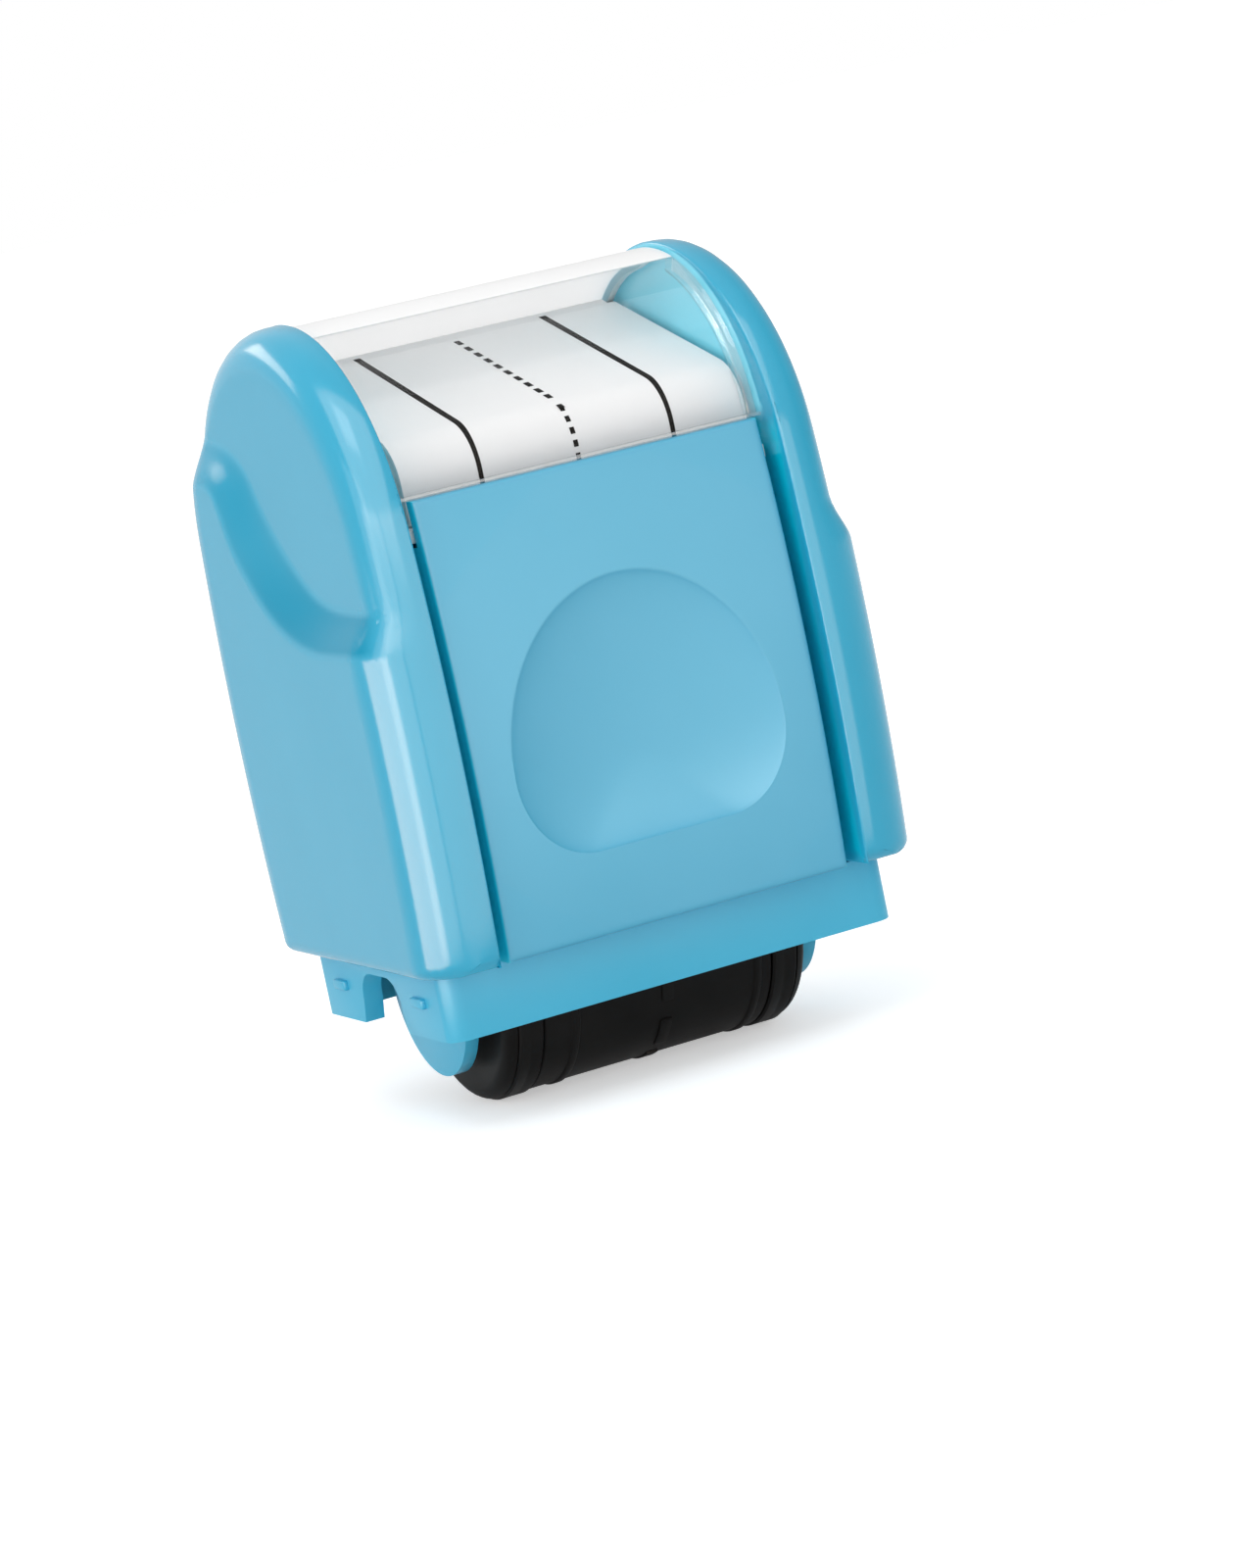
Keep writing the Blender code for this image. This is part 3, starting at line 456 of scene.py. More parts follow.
cheek = {
    "halfDepth": 18.35, "sideRadius": 147.9, "crownRadius": 17.4, "waist": 29.3, "bottom": 13.1,
    "cornerRadius": 1.3, "fillet": 4.5, "bottomRound": 0.8, "innerRound": 0.22,
    "inner": 15.6, "outer": 21.05, "scoop": 1.6, "wallSoftness": 0.6,
    "floorEdge": [(-19.5, 41.2), (-15.4, 41.2), (-9.4, 41.2), (-5.4, 42.1), (-2.1, 44.3), (1.0, 47.2),
                  (2.9, 49.8), (4.3, 52.2), (7.1, 53.7), (11.1, 54.4), (19.5, 55.6)],
    "outerEdge": [(-19.5, 37.8), (-11.5, 37.8), (-7.0, 37.8), (-2.8, 38.5), (1.1, 40.1), (4.3, 42.7),
                  (6.9, 45.5), (8.0, 48.6), (8.8, 50.6), (12.2, 50.9), (19.5, 51.1)],
    # Two thin ribs close the gap to the tower
    "ribPlace": 9.9, "ribHalf": 0.4, "ribHeights": (14.2, 44.8), "ribStand": 0.19, "ribSunk": 0.1,
    # Where the painted shade and painted light tones are full and where they end
    "innerFace": (15.61, 15.68), "gapDepth": (16.2, 17.3), "gapHeight": (47.0, 48.5),
    "coverCentre": 47.44, "endsRadius": (14.7, 14.95), "endsHeight": (49.0, 48.0),
    "slopeFrom": 16.5, "slopeBand": (0.65, 1.0), "slopeInset": (3.0, 1.2), "slopeHeight": (40.0, 47.0),
    "slopeLeast": 0.55,
    # Mesh: grids with their ranges and pitch, steps, and lines for the marks on the inner face
    "grid": ((-13.6, 13.7), (14.4, 58.2), 0.5), "gridInset": 4.7, "gridMargin": 0.7,
    "fineGrid": ((-18.0, 18.01), (37, 57), 0.28), "fineInset": 0.25, "fineMargin": 0.6,
    "jitter": 0.02, "seed": 4, "apart": 0.13,
    "steps": 44, "filletSteps": 60, "cornerSteps": 6, "footSteps": 90, "footPoints": 110, "footLift": 0.03,
    "filletTurns": range(10, 91, 10), "footShares": (0.06, 0.2, 0.5, 1.0), "innerShares": (0.12, 0.45, 1.0),
    "innerRings": (0.6, 1.1, 1.7), "innerLines": (47.9, 48.5, 49.2), "innerLineHalf": 17.2,
    "innerArcs": (14.2, 14.45, 14.75, 15.0), "innerArcSpan": (math.radians(8), math.radians(172)),
}
cheek["sideCentre"] = cheek["halfDepth"] - cheek["sideRadius"]
cheek["crownCentre"] = cheek["waist"] + math.sqrt(
    (cheek["sideRadius"] - cheek["crownRadius"]) ** 2 - cheek["sideCentre"] ** 2)
floorLine, outerLine = smoothLine(cheek["floorEdge"]), smoothLine(cheek["outerEdge"])


def barrelLine(inset, lowEnd, sideSteps=cheek["steps"]):
    # Sides and crown of a cheek, moved inwards, from rear bottom over the crown to front bottom
    c = cheek
    radius = c["sideRadius"] - inset
    low = math.asin((lowEnd - c["waist"]) / radius)
    high = math.atan2(c["crownCentre"] - c["waist"], -c["sideCentre"])
    half = arcPoints((c["sideCentre"], c["waist"]), radius, low, high, sideSteps)
    half += arcPoints((0, c["crownCentre"]), c["crownRadius"] - inset, high, math.pi / 2, c["steps"])[1:]
    return half + [(-y, z) for y, z in reversed(half[:-1])]


def cheekInset(spots):
    # How far in from its sides and crown each place on a cheek is
    c = cheek
    out, height = np.abs(spots[:, 0]), spots[:, 1]
    lean = -c["sideCentre"] * (height - c["waist"])
    lean -= (c["crownCentre"] - c["waist"]) * (out - c["sideCentre"])
    crown = c["crownRadius"] - np.hypot(out, height - c["crownCentre"])
    side = c["sideRadius"] - np.hypot(out - c["sideCentre"], height - c["waist"])
    return np.where(lean > 0, crown, side)


def cheekFace(spots):
    # How far out the outer face is: the full face below the scoop and its floor above
    c = cheek
    inset = cheekInset(spots)
    full = quarterRound(c["fillet"], inset)
    floor = quarterRound(c["fillet"] - c["scoop"], inset)
    toFloor, toOuter = lineDistance(floorLine, spots), lineDistance(outerLine, spots)
    share = toFloor / np.maximum(1e-9, toFloor + toOuter)
    share = np.where(overLine(floorLine, spots) >= 0, 0.0, share)
    share = np.where(overLine(outerLine, spots) <= 0, 1.0, share)
    share = share + c["wallSoftness"] * (eased(share) - share)
    height = floor + (full - floor) * share
    height -= c["bottomRound"] - quarterRound(c["bottomRound"], spots[:, 1] - c["bottom"])
    return c["outer"] - c["fillet"] + np.maximum(0, height)


def cheekBack(spots):
    inset = np.minimum(cheekInset(spots), spots[:, 1] - cheek["bottom"])
    return cheek["inner"] + cheek["innerRound"] - quarterRound(cheek["innerRound"], inset)


def cheekGapShade(spots):
    # Painted shade: a deep teal on the inner face beside the panels, in the gap
    beside = fadeOut(np.abs(spots[:, 1]), *cheek["gapDepth"]) * fadeOut(spots[:, 2], *cheek["gapHeight"])
    return fadeOut(np.abs(spots[:, 0]), *cheek["innerFace"]) * beside


def cheekEndsPaintedLight(spots):
    # Painted light: a lighter tone on the inner face at the window's ends, standing in for the light the cover lets in
    # from all sides
    within = fadeOut(np.hypot(spots[:, 1], spots[:, 2] - cheek["coverCentre"]), *cheek["endsRadius"])
    within *= fadeOut(spots[:, 2], *cheek["endsHeight"])
    return fadeOut(np.abs(spots[:, 0]), *cheek["innerFace"]) * within


def cheekScoopShade(spots):
    # Painted shade on the sloping wall of the scoop, strongest low down
    c = cheek
    flat, least = spots[:, 1:], c["slopeLeast"]
    toFloor, toOuter = lineDistance(floorLine, flat), lineDistance(outerLine, flat)
    wall = fadeOut(np.abs(toFloor - toOuter) / (toFloor + toOuter), *c["slopeBand"])
    wall *= (np.abs(spots[:, 0]) > c["slopeFrom"]) * fadeOut(cheekInset(flat), *c["slopeInset"])
    wall *= (overLine(floorLine, flat) < 0) & (overLine(outerLine, flat) > 0)
    return wall * (least + (1 - least) * fadeOut(spots[:, 2], *c["slopeHeight"]))


def makeCheek(name, side, node):
    c = cheek
    corner = c["bottom"] + c["cornerRadius"]
    upper = barrelLine(0, corner)
    low = math.asin((corner - c["waist"]) / c["sideRadius"])
    turn = arcPoints((upper[0][0] - c["cornerRadius"], corner), c["cornerRadius"], -math.pi / 2, low, c["cornerSteps"])
    foot = turn[0][0]
    flat = [(-foot + 2 * foot * i / c["footSteps"], c["bottom"]) for i in range(1, c["footSteps"])]
    outline = flat + turn[:-1] + upper + [(-y, z) for y, z in reversed(turn[:-1])]
    rings = [c["fillet"] * (1 - math.cos(math.radians(angle))) for angle in c["filletTurns"]]
    lines = [barrelLine(ring, c["bottom"] + c["footLift"], c["filletSteps"]) for ring in rings]
    for share in c["footShares"]:
        z = c["bottom"] + share * c["bottomRound"]
        lines.append([(y, z) for y in np.linspace(-foot, foot, c["footPoints"])])
    grid, fine = evenGrid(*c["grid"]), evenGrid(*c["fineGrid"])
    grid = grid[cheekInset(grid) > c["gridInset"]]
    grid = grid[(overLine(floorLine, grid) > c["gridMargin"]) | (overLine(outerLine, grid) < -c["gridMargin"])]
    between = (overLine(floorLine, fine) < c["fineMargin"]) & (overLine(outerLine, fine) > -c["fineMargin"])
    loose = np.concatenate([grid, fine[between & (cheekInset(fine) > c["fineInset"])]])
    loose = loose + np.random.default_rng(c["seed"]).uniform(-c["jitter"], c["jitter"], loose.shape)
    loose = keptApart(loose, lines, c["apart"])
    insets = [c["innerRound"] * share for share in c["innerShares"]] + list(c["innerRings"])
    backLines = [barrelLine(inset, c["bottom"] + inset) for inset in insets]
    backLines = [ring + ring[:1] for ring in backLines]
    backLines += [[(y, z) for y in np.linspace(*around(0, c["innerLineHalf"]), 40)] for z in c["innerLines"]]
    backLines += [arcPoints((0, c["coverCentre"]), radius, *c["innerArcSpan"], 60) for radius in c["innerArcs"]]
    piece = reliefPiece(name, outline, lines, loose, backLines, cheekFace, cheekBack,
                        lambda y, z, x: (side * x, y, z), "cheek")
    # Painted shade in the gap beside the panels and on the scoop wall, and painted light on the inner face inside the
    # window's ends
    for mark, share in (("hollow", cheekGapShade), ("slope", cheekScoopShade), ("ends", cheekEndsPaintedLight)):
        markPoints(piece, mark, share)
    seat(piece, "housing", node, True)
    across = sideSpan(side, c["inner"] - c["ribStand"], c["inner"] + c["ribSunk"])
    for place in (-1, 1):
        rib = boxPiece(f"{name}Rib{'FB'[place > 0]}", across, around(place * c["ribPlace"], c["ribHalf"]),
                       c["ribHeights"], "cheek")
        softEdges(rib, 0.05, 2)
        seat(rib, "housing", node)


makeCheek("leftCheek", -1, "left_cheek_cover")
makeCheek("rightCheek", 1, "right_cheek_cover")
print("cheeks made")


panel = {
    "halfWidth": 14.5, "halfDepth": 17.2, "sideRadius": 152.7, "waist": 29.3, "bottom": 13.1, "top": 48.4,
    "wall": 1.1, "edgeRound": 0.28, "dimpleCentre": 26.3, "dimpleHalfWidth": 11.37, "dimpleRise": 13.5,
    "dimpleDrop": 6.74, "dimpleFlat": 5.59, "dimpleDepth": 2.2, "dishPower": 0.8, "flangeDepth": 12.2,
    "flangeTop": 44.8, "flangeMargin": 0.05, "gapShadeEdge": (0.02, 0.12),
    # Mesh: points across and up, shares of the dimple that get a line, and the grid between them
    "across": 60, "up": 72, "dimpleLines": (1.012, 1.0, 0.99, 0.975, 0.95, 0.92, 0.88),
    "backDimpleLines": (0.25, 0.45, 0.6, 0.72, 0.82, 0.9, 0.96, 1.0), "edgeTurns": (15, 30, 45, 60, 90),
    "grid": ((-14.0, 14.1), (13.7, 48.0), 0.45), "gridFree": (0.86, 1.03),
}
panel["dimpleBend"] = panel["dimpleHalfWidth"] - panel["dimpleFlat"]


def dimpleShare(spots):
    # Place inside the dimple: 0 at its centre and 1 on its rim
    x, rise = np.abs(spots[:, 0]), spots[:, 1] - panel["dimpleCentre"]
    above = np.hypot(x / panel["dimpleHalfWidth"], rise / panel["dimpleRise"])
    drop = np.maximum(0, -rise / panel["dimpleDrop"])
    flat, bend = panel["dimpleFlat"], panel["dimpleBend"]
    square = x ** 2 + (bend * drop) ** 2
    root = np.sqrt(np.maximum(0, (flat * x) ** 2 - (flat ** 2 - bend ** 2) * square))
    below = np.where(x <= flat * drop, drop, square / np.maximum(1e-9, flat * x + root))
    return np.where(rise >= 0, above, below)


def dimpleLoop(share, steps=44):
    ring = [(panel["dimpleHalfWidth"] * math.cos(a), panel["dimpleRise"] * math.sin(a))
            for a in np.linspace(0, math.pi, 2 * steps)]
    for side, start in ((-1, math.pi), (1, 1.5 * math.pi)):
        ring += [(side * panel["dimpleFlat"] + panel["dimpleBend"] * math.cos(a), panel["dimpleDrop"] * math.sin(a))
                 for a in np.linspace(start, start + math.pi / 2, steps // 2)[int(side < 0):]]
    ring = [(share * x, panel["dimpleCentre"] + share * z) for x, z in ring[:-1]]
    return ring + ring[:1]


def panelSurface(spots):
    rise = spots[:, 1] - panel["waist"]
    out = panel["halfDepth"] - panel["sideRadius"] + np.sqrt(panel["sideRadius"] ** 2 - rise ** 2)
    share = np.clip(dimpleShare(spots), 0, 1)
    return out - panel["dimpleDepth"] * (1 - share ** 2) ** panel["dishPower"]


def panelFace(spots):
    inset = np.minimum(spots[:, 1] - panel["bottom"], panel["top"] - spots[:, 1])
    inset = np.minimum(panel["halfWidth"] - np.abs(spots[:, 0]), inset)
    return panelSurface(spots) - panel["edgeRound"] + quarterRound(panel["edgeRound"], inset)


def panelBack(spots):
    rim = panel["wall"] + panel["flangeMargin"]
    side = panel["halfWidth"] - np.abs(spots[:, 0]) < rim
    flange = (side | (spots[:, 1] < panel["bottom"] + rim)) & (spots[:, 1] < panel["flangeTop"])
    return np.where(flange, panel["flangeDepth"], panelSurface(spots) - panel["wall"])


def makePanel(name, side, node):
    half, low, high = panel["halfWidth"], panel["bottom"], panel["top"]
    across, up = np.linspace(-half, half, panel["across"]), np.linspace(low, high, panel["up"])
    outline = [(x, low) for x in across[:-1]] + [(half, z) for z in up[:-1]]
    outline += [(x, high) for x in across[::-1][:-1]] + [(-half, z) for z in up[::-1][:-1]]
    lines = [dimpleLoop(share) for share in panel["dimpleLines"]]
    for turn in panel["edgeTurns"]:
        inset = panel["edgeRound"] * (1 - math.cos(math.radians(turn)))
        x0, x1, z0, z1 = -half + inset, half - inset, low + inset, high - inset
        loop = [(x, z0) for x in np.linspace(x0, x1, panel["across"])]
        loop += [(x1, z) for z in np.linspace(z0, z1, panel["up"])[1:]]
        loop += [(x, z1) for x in np.linspace(x1, x0, panel["across"])[1:]]
        lines.append(loop + [(x0, z) for z in np.linspace(z1, z0, panel["up"])[1:]])
    grid = evenGrid(*panel["grid"])
    share = dimpleShare(grid)
    loose = grid[(share < panel["gridFree"][0]) | (share > panel["gridFree"][1])]
    backLines = [dimpleLoop(share, 24) for share in panel["backDimpleLines"]]
    for step in (0.0, 0.1):  # on both sides of the flange's step
        x, z, end = half - panel["wall"] - step, low + panel["wall"] + step, half - 0.02
        top = panel["flangeTop"] + step - panel["flangeMargin"]
        backLines.append([(-end, top), (-x, top), (-x, z), (x, z), (x, top), (end, top)])
    piece = reliefPiece(name, outline, lines, loose, backLines, panelFace, panelBack,
                        lambda x, z, y: (x, side * y, z), "panel")
    # Painted shade: a deep teal on the panel's side edges, in the gap beside the cheeks
    full, none = (half - inset for inset in panel["gapShadeEdge"])
    markPoints(piece, "hollow", lambda spots: fadeOut(np.abs(spots[:, 0]), full, none))
    seat(piece, "housing", node, True)


makePanel("frontThumbPanel", -1, "front_thumb_panel")
makePanel("rearThumbPanel", 1, "rear_thumb_panel")
print("panels made")


skirt = {
    "halfWidth": 19.1, "halfDepth": 13.3, "bottom": 7.7, "top": 12.9, "cornerRadius": 1.6, "wall": 1.6,
    "innerCorner": 0.9, "shoulder": 1.2, "edge": 0.18, "roundSteps": 48, "studSteps": 24, "notchSteps": 10,
    "notchHalf": 4.6, "notchTopHalf": 4.0, "notchHeight": 4.2, "notchRadius": 2.4,
    "towerHalfWidth": 15.4, "towerHalfDepth": 12.0, "towerWall": 1.2, "towerTop": 45.0,
    "towerCorner": 1.0, "boreCorner": 0.5,
    "earRadius": 7.1, "earInner": 14.25, "earOuter": 15.35, "earTop": 13.4, "axisHeight": 9.93, "bushRadius": 2.70,
    "bumpCentre": 8.05, "bumpHeight": 10.5, "bumpHalfLength": 1.2, "bumpHalfRise": 0.4, "bumpStand": 0.4,
    "bumpSunk": 0.3, "bumpEdge": 0.2,
    "studs": [(-8, 20.5), (8, 20.5), (-8, 40.5), (8, 40.5)], "studHole": 1.35,
    "slotHalf": 3.15, "slotHeights": (37.85, 40.15),
    # From where to where the cutters reach
    "notchCut": (15.6, 20.5), "bushCut": (13.0, 15.6), "wallCut": (13.0, 16.6),
}


def makeSkirt():
    s = skirt
    outer = roundedBox(s["halfWidth"], s["halfDepth"], s["cornerRadius"])
    inner = roundedBox(s["halfWidth"] - s["wall"], s["halfDepth"] - s["wall"], s["innerCorner"])
    tower = roundedBox(s["towerHalfWidth"], s["towerHalfDepth"], s["towerCorner"])
    bore = roundedBox(s["towerHalfWidth"] - s["towerWall"], s["towerHalfDepth"] - s["towerWall"], s["boreCorner"])
    under = s["top"] - s["shoulder"]
    stack = [(outer, s["bottom"]), (outer, s["top"]), (tower, s["top"]), (tower, s["towerTop"]),
             (bore, s["towerTop"]), (bore, under), (inner, under), (inner, s["bottom"])]
    piece = addPiece("skirtFrame", *loftLoops([[(a, b, z) for a, b in loop] for loop, z in stack], closed=True),
                     "skirt")
    top = s["bottom"] + s["notchHeight"]
    centre = (s["notchTopHalf"] - s["notchRadius"], top - s["notchRadius"])
    notch = [(s["notchHalf"], s["bottom"] - 2), (s["notchHalf"], s["bottom"])]
    notch += arcPoints(centre, s["notchRadius"], 0, math.pi / 2, s["notchSteps"])
    notch += [(-y, z) for y, z in reversed(notch)]
    axis = (0, s["axisHeight"])
    ear = arcPoints(axis, s["earRadius"], math.pi, 2 * math.pi, s["roundSteps"])
    ear += [(s["earRadius"], s["earTop"]), (-s["earRadius"], s["earTop"])]
    cuts = [("notch", notch, s["notchCut"]),
            ("bushHole", circlePoints(axis, s["bushRadius"], s["roundSteps"]), s["bushCut"])]
    cuts += [("studHole", circlePoints(stud, s["studHole"], s["studSteps"]), s["wallCut"]) for stud in s["studs"]]
    cutters, ears = [], []
    for side in (-1, 1):
        ears.append(prismX("ear", ear, *sideSpan(side, s["earInner"], s["earOuter"]), "skirt"))
        cutters += [prismX(name, loop, *sideSpan(side, *reach), "skirt") for name, loop, reach in cuts]
        cutters.append(boxPiece("slot", sideSpan(side, *s["wallCut"]), around(0, s["slotHalf"]), s["slotHeights"],
                                "skirt"))
    cutWith(piece, ears, "UNION")
    cutWith(piece, cutters)
    softEdges(piece, s["edge"], 3)
    seat(piece, "housing", "skirt_frame", True)
    for side in (-1, 1):
        across = sideSpan(side, s["halfWidth"] - s["bumpSunk"], s["halfWidth"] + s["bumpStand"])
        for place in (-1, 1):
            bump = boxPiece(f"snapBump{'LR'[side > 0]}{'FB'[place > 0]}", across,
                            around(place * s["bumpCentre"], s["bumpHalfLength"]),
                            around(s["bumpHeight"], s["bumpHalfRise"]), "skirt")
            softEdges(bump, s["bumpEdge"], 3)
            seat(bump, "housing", "skirt_frame")


makeSkirt()
print("skirt made")


window = {
    "radius": 14.63, "centre": 47.44, "bottom": 46.4, "wall": 0.8, "halfWidth": 15.3,
    "lipWidth": 0.6, "lipWall": 1.2, "lipSlope": 0.15, "backWall": 1.1, "backLipWall": 1.63,
    "parting": 110.0, "partingGap": 0.2, "taperFrom": 84.0, "taperedWall": 0.12, "turnStep": 2.5,
    "ledgeReach": 15.3, "ledgeLow": 48.45, "ledgeRise": 0.3, "edge": 0.05, "ledgeEdge": 0.08,
}


def windowPart(name, start, end, wall, lipWall, look, tapered=False):
    # Part of the round cover between two turns, counted from the rear, with thicker lips at its ends
    w = window
    turns = np.linspace(start, end, round((end - start) / w["turnStep"]) + 1)
    taper = fadeOut(turns, w["parting"], w["taperFrom"]) if tapered else np.zeros(len(turns))

    def section(x, thick):
        rows = []
        for inset in (0 * taper, thick + (w["taperedWall"] - thick) * taper):
            reach = w["radius"] - inset
            row = [(r * math.cos(a), w["centre"] + r * math.sin(a)) for r, a in zip(reach, np.radians(turns))]
            row = ([(reach[0], w["bottom"])] if start == 0 else []) + row
            rows.append(row + ([(-reach[-1], w["bottom"])] if end == 180 else []))
        return [(x, y, z) for y, z in rows[0] + rows[1][::-1]]

    lip = w["halfWidth"] - w["lipWidth"]
    places = [(-w["halfWidth"], lipWall), (-lip, lipWall), (-lip + w["lipSlope"], wall),
              (lip - w["lipSlope"], wall), (lip, lipWall), (w["halfWidth"], lipWall)]
    points, faces = loftLoops([section(x, thick) for x, thick in places])
    count = len(points) // len(places)
    faces = faces[2:]  # the hollow ends get strips instead of caps
    for first in (0, len(points) - count):
        faces += [(first + i, first + i + 1, first + count - 2 - i, first + count - 1 - i)
                  for i in range(count // 2 - 1)]
    piece = addPiece(name, points, faces, look)
    softEdges(piece, w["edge"], 2)
    return piece


def dressInside(piece, look, wanted):
    # Second material for the wanted faces that lie inside the cover's outer skin
    piece.data.materials.append(finish[look])
    skin = (window["radius"] - window["edge"]) * mm
    for face in piece.data.polygons:
        x, y, z = face.center
        inner = math.hypot(y, z - window["centre"] * mm) < skin
        face.material_index = int(inner and wanted(abs(x) / mm, z / mm))


def makeWindow():
    w = window
    lip = w["halfWidth"] - w["lipWidth"]
    clear = windowPart("clearWindow", w["parting"] + w["partingGap"], 180, w["wall"], w["lipWall"],
                       "clearPlastic")
    dressInside(clear, "clearEdge", lambda out, height: out > lip + 0.01 and height > w["ledgeLow"])
    back = windowPart("windowBack", 0, w["parting"], w["backWall"], w["backLipWall"], "windowWhite", True)
    # The inner faces get a lighter white than the outside: partly light scattered through the wall, partly painted
    # light
    dressInside(back, "windowLining", lambda out, height: out < lip and height > w["centre"])
    back.visible_shadow = False  # its thin white wall lets the studio light through to the card
    ledge = boxPiece("windowLedge", around(0, w["halfWidth"]), (-w["ledgeReach"], -w["radius"] + 0.1),
                     (w["ledgeLow"], w["ledgeLow"] + w["ledgeRise"]), "clearEdge")
    softEdges(ledge, w["ledgeEdge"], 2)
    for piece in (clear, back, ledge):
        seat(piece, "window", "clear_window", piece is clear)


makeWindow()
print("window made")


card = {
    "front": 13.05, "rise": 52.15, "slope": 0.295, "back": 8.0, "bend": 3.8, "foot": 46.4,
    "left": -13.85, "right": 15.1, "thickness": 0.3, "rampShares": (0.2, 0.4, 0.6, 0.8),
    "cornerCut": ((14.5, 16.0), (6.9, 9.0), (55.0, 60.0)), "whiterOver": (6.0, -9.0),
    "offset": 0.7, "spacing": 8.1, "solidEnd": 7.2, "dashEnd": 9.0, "dashGap": 0.3,
    "lineWidth": 0.38, "rampLineWidth": 0.58, "rampDashWidth": 0.46, "widenOver": (-12.9, -9.5), "inkStand": 0.02,
    "dashes": {"dashedLineRamp": (-11.4, 5.7, 1.02, 1.62), "dashedLineFront": (47.5, 52.2, 0.52, 0.88)},
}


def cardPath(inset, end, foot=card["foot"]):
    # Line up the front of the card, over its bend and up the ramp to a depth, moved inwards
    lean = math.atan(card["slope"])
    front = -card["front"] + inset
    radius = card["bend"] - inset
    lift = card["rise"] - inset / math.cos(lean)
    knee = lift + card["slope"] * (front + card["front"])
    centre = (front + radius, knee - radius * math.tan((math.pi / 2 - lean) / 2))
    bend = arcPoints(centre, radius, math.pi, math.pi / 2 + lean, 12)
    return [(front, foot)] + bend + [(end, lift + card["slope"] * (end + card["front"]))]


def makeCard():
    sheet = []
    for inset, way in ((0, 1), (card["thickness"], -1)):
        path = cardPath(inset, card["back"])
        (y0, z0), (y1, z1) = path[-2:]
        steps = [(y0 + (y1 - y0) * share, z0 + (z1 - z0) * share) for share in card["rampShares"]]
        sheet += (path[:-1] + steps + path[-1:])[::way]
    piece = prismX("labelCard", sheet, card["left"], card["right"], "cardPaper")
    cutWith(piece, [boxPiece("corner", *card["cornerCut"], "cardPaper")])
    shadeSoft(piece)
    # Painted light: a shade whiter under the cover's back, where the cover keeps light off the card
    markPoints(piece, "rear", lambda spots: fadeOut(spots[:, 1], *card["whiterOver"]))
    seat(piece, "housing", "label_card", True)
    stand = card["inkStand"]
    for side in (-1, 1):
        x, loops = card["offset"] + side * card["spacing"], []
        for over, under in zip(cardPath(-stand, card["solidEnd"]), cardPath(stand, card["solidEnd"])):
            half = np.interp(over[0], card["widenOver"], (card["lineWidth"] / 2, card["rampLineWidth"] / 2))
            loops.append([(x - half, *over), (x + half, *over), (x + half, *under), (x - half, *under)])
        ink = addPiece(f"solidLine{'LR'[side > 0]}", *loftLoops(loops), "printedInk")
        seat(ink, "housing", "label_card")


makeCard()


tray = {
    "low": 45.2, "plate": 1.0, "halfWidth": 15.3, "halfDepth": 14.6, "sideGap": 0.1, "cardGap": 0.05, "wall": 1.0,
    "rimHalfWidth": 14.0, "rimHalfDepth": 10.6, "rimDrop": 1.4, "back": 6.8, "overlap": 0.5, "hollowShift": 0.3,
    "edge": 0.08,
}


def makeTray():
    # Plate on the tower with a rim inside it and a hollow ramp under the card
    t, white = tray, "trayWhite"
    top, skin, under = t["low"] + t["plate"], card["thickness"] + t["cardGap"], t["low"] - t["rimDrop"]
    piece = boxPiece("cardTray", around(0, t["halfWidth"]), around(0, t["halfDepth"]), (t["low"], top), white)
    foot = top - t["overlap"]
    ramp = cardPath(skin, t["back"], foot) + [(t["back"], foot)]
    rim = boxPiece("rim", around(0, t["rimHalfWidth"]), around(0, t["rimHalfDepth"]),
                   (under, t["low"] + t["overlap"]), white)
    left, right = card["left"] + t["sideGap"], card["right"] - t["sideGap"]
    cutWith(piece, [prismX("ramp", ramp, left, right, white), rim], "UNION")
    back, front = t["back"] - t["wall"], t["wall"] - t["rimHalfDepth"]
    hollow = cardPath(skin + t["wall"], back, top) + [(back, under - 1), (front, under - 1), (front, top)]
    inside = t["rimHalfWidth"] - t["wall"]
    cutWith(piece, [prismX("hollow", hollow, -inside + t["hollowShift"], inside, white)])
    softEdges(piece, t["edge"], 2)
    seat(piece, "housing", "card_tray", True)


makeTray()


def nodeTree(name, values):
    # Empty Geometry Nodes tree with a named input for each value
    tree = bpy.data.node_groups.new(name, "GeometryNodeTree")
    kinds = {int: "Int", float: "Float", tuple: "Vector", bpy.types.Material: "Material"}
    inputs = {"Geometry": "Geometry", **{title: kinds[type(value)] for title, value in values.items()}}
    for way, sockets in (("INPUT", inputs), ("OUTPUT", {"Geometry": "Geometry"})):
        for title, kind in sockets.items():
            tree.interface.new_socket(title, in_out=way, socket_type=f"NodeSocket{kind}")
    return tree, tree.nodes.new("NodeGroupInput"), tree.nodes.new("NodeGroupOutput")


def geometryNodes(tree, *kinds):
    return [addNode(tree, "GeometryNode" + kind) for kind in kinds]


def feed(tree, given, *rows):
    # Leads the tree's own inputs to the nodes that use them
    for title, socket, node in rows:
        wire(tree, given, title, socket, node)


def geometryRow(tree, *nodes):
    for node, following in zip(nodes, nodes[1:]):
        wire(tree, node, "Geometry", "Geometry", following)


def runTree(piece, makeTree, values):
    # Runs a tree on a piece and keeps the result as its plain mesh
    tree = makeTree(values)
    modifier = piece.modifiers.new(tree.name, "NODES")
    modifier.node_group = tree
    for item in tree.interface.items_tree:
        if item.in_out == "INPUT" and item.name in values:
            modifier[item.identifier] = values[item.name]
    bake(piece)
    piece.data.materials.clear()
    piece.data.materials.append(values["Material"])
    return piece


def linePiece(name, points):
    return newPiece(name, points, [(i, i + 1) for i in range(len(points) - 1)], [])


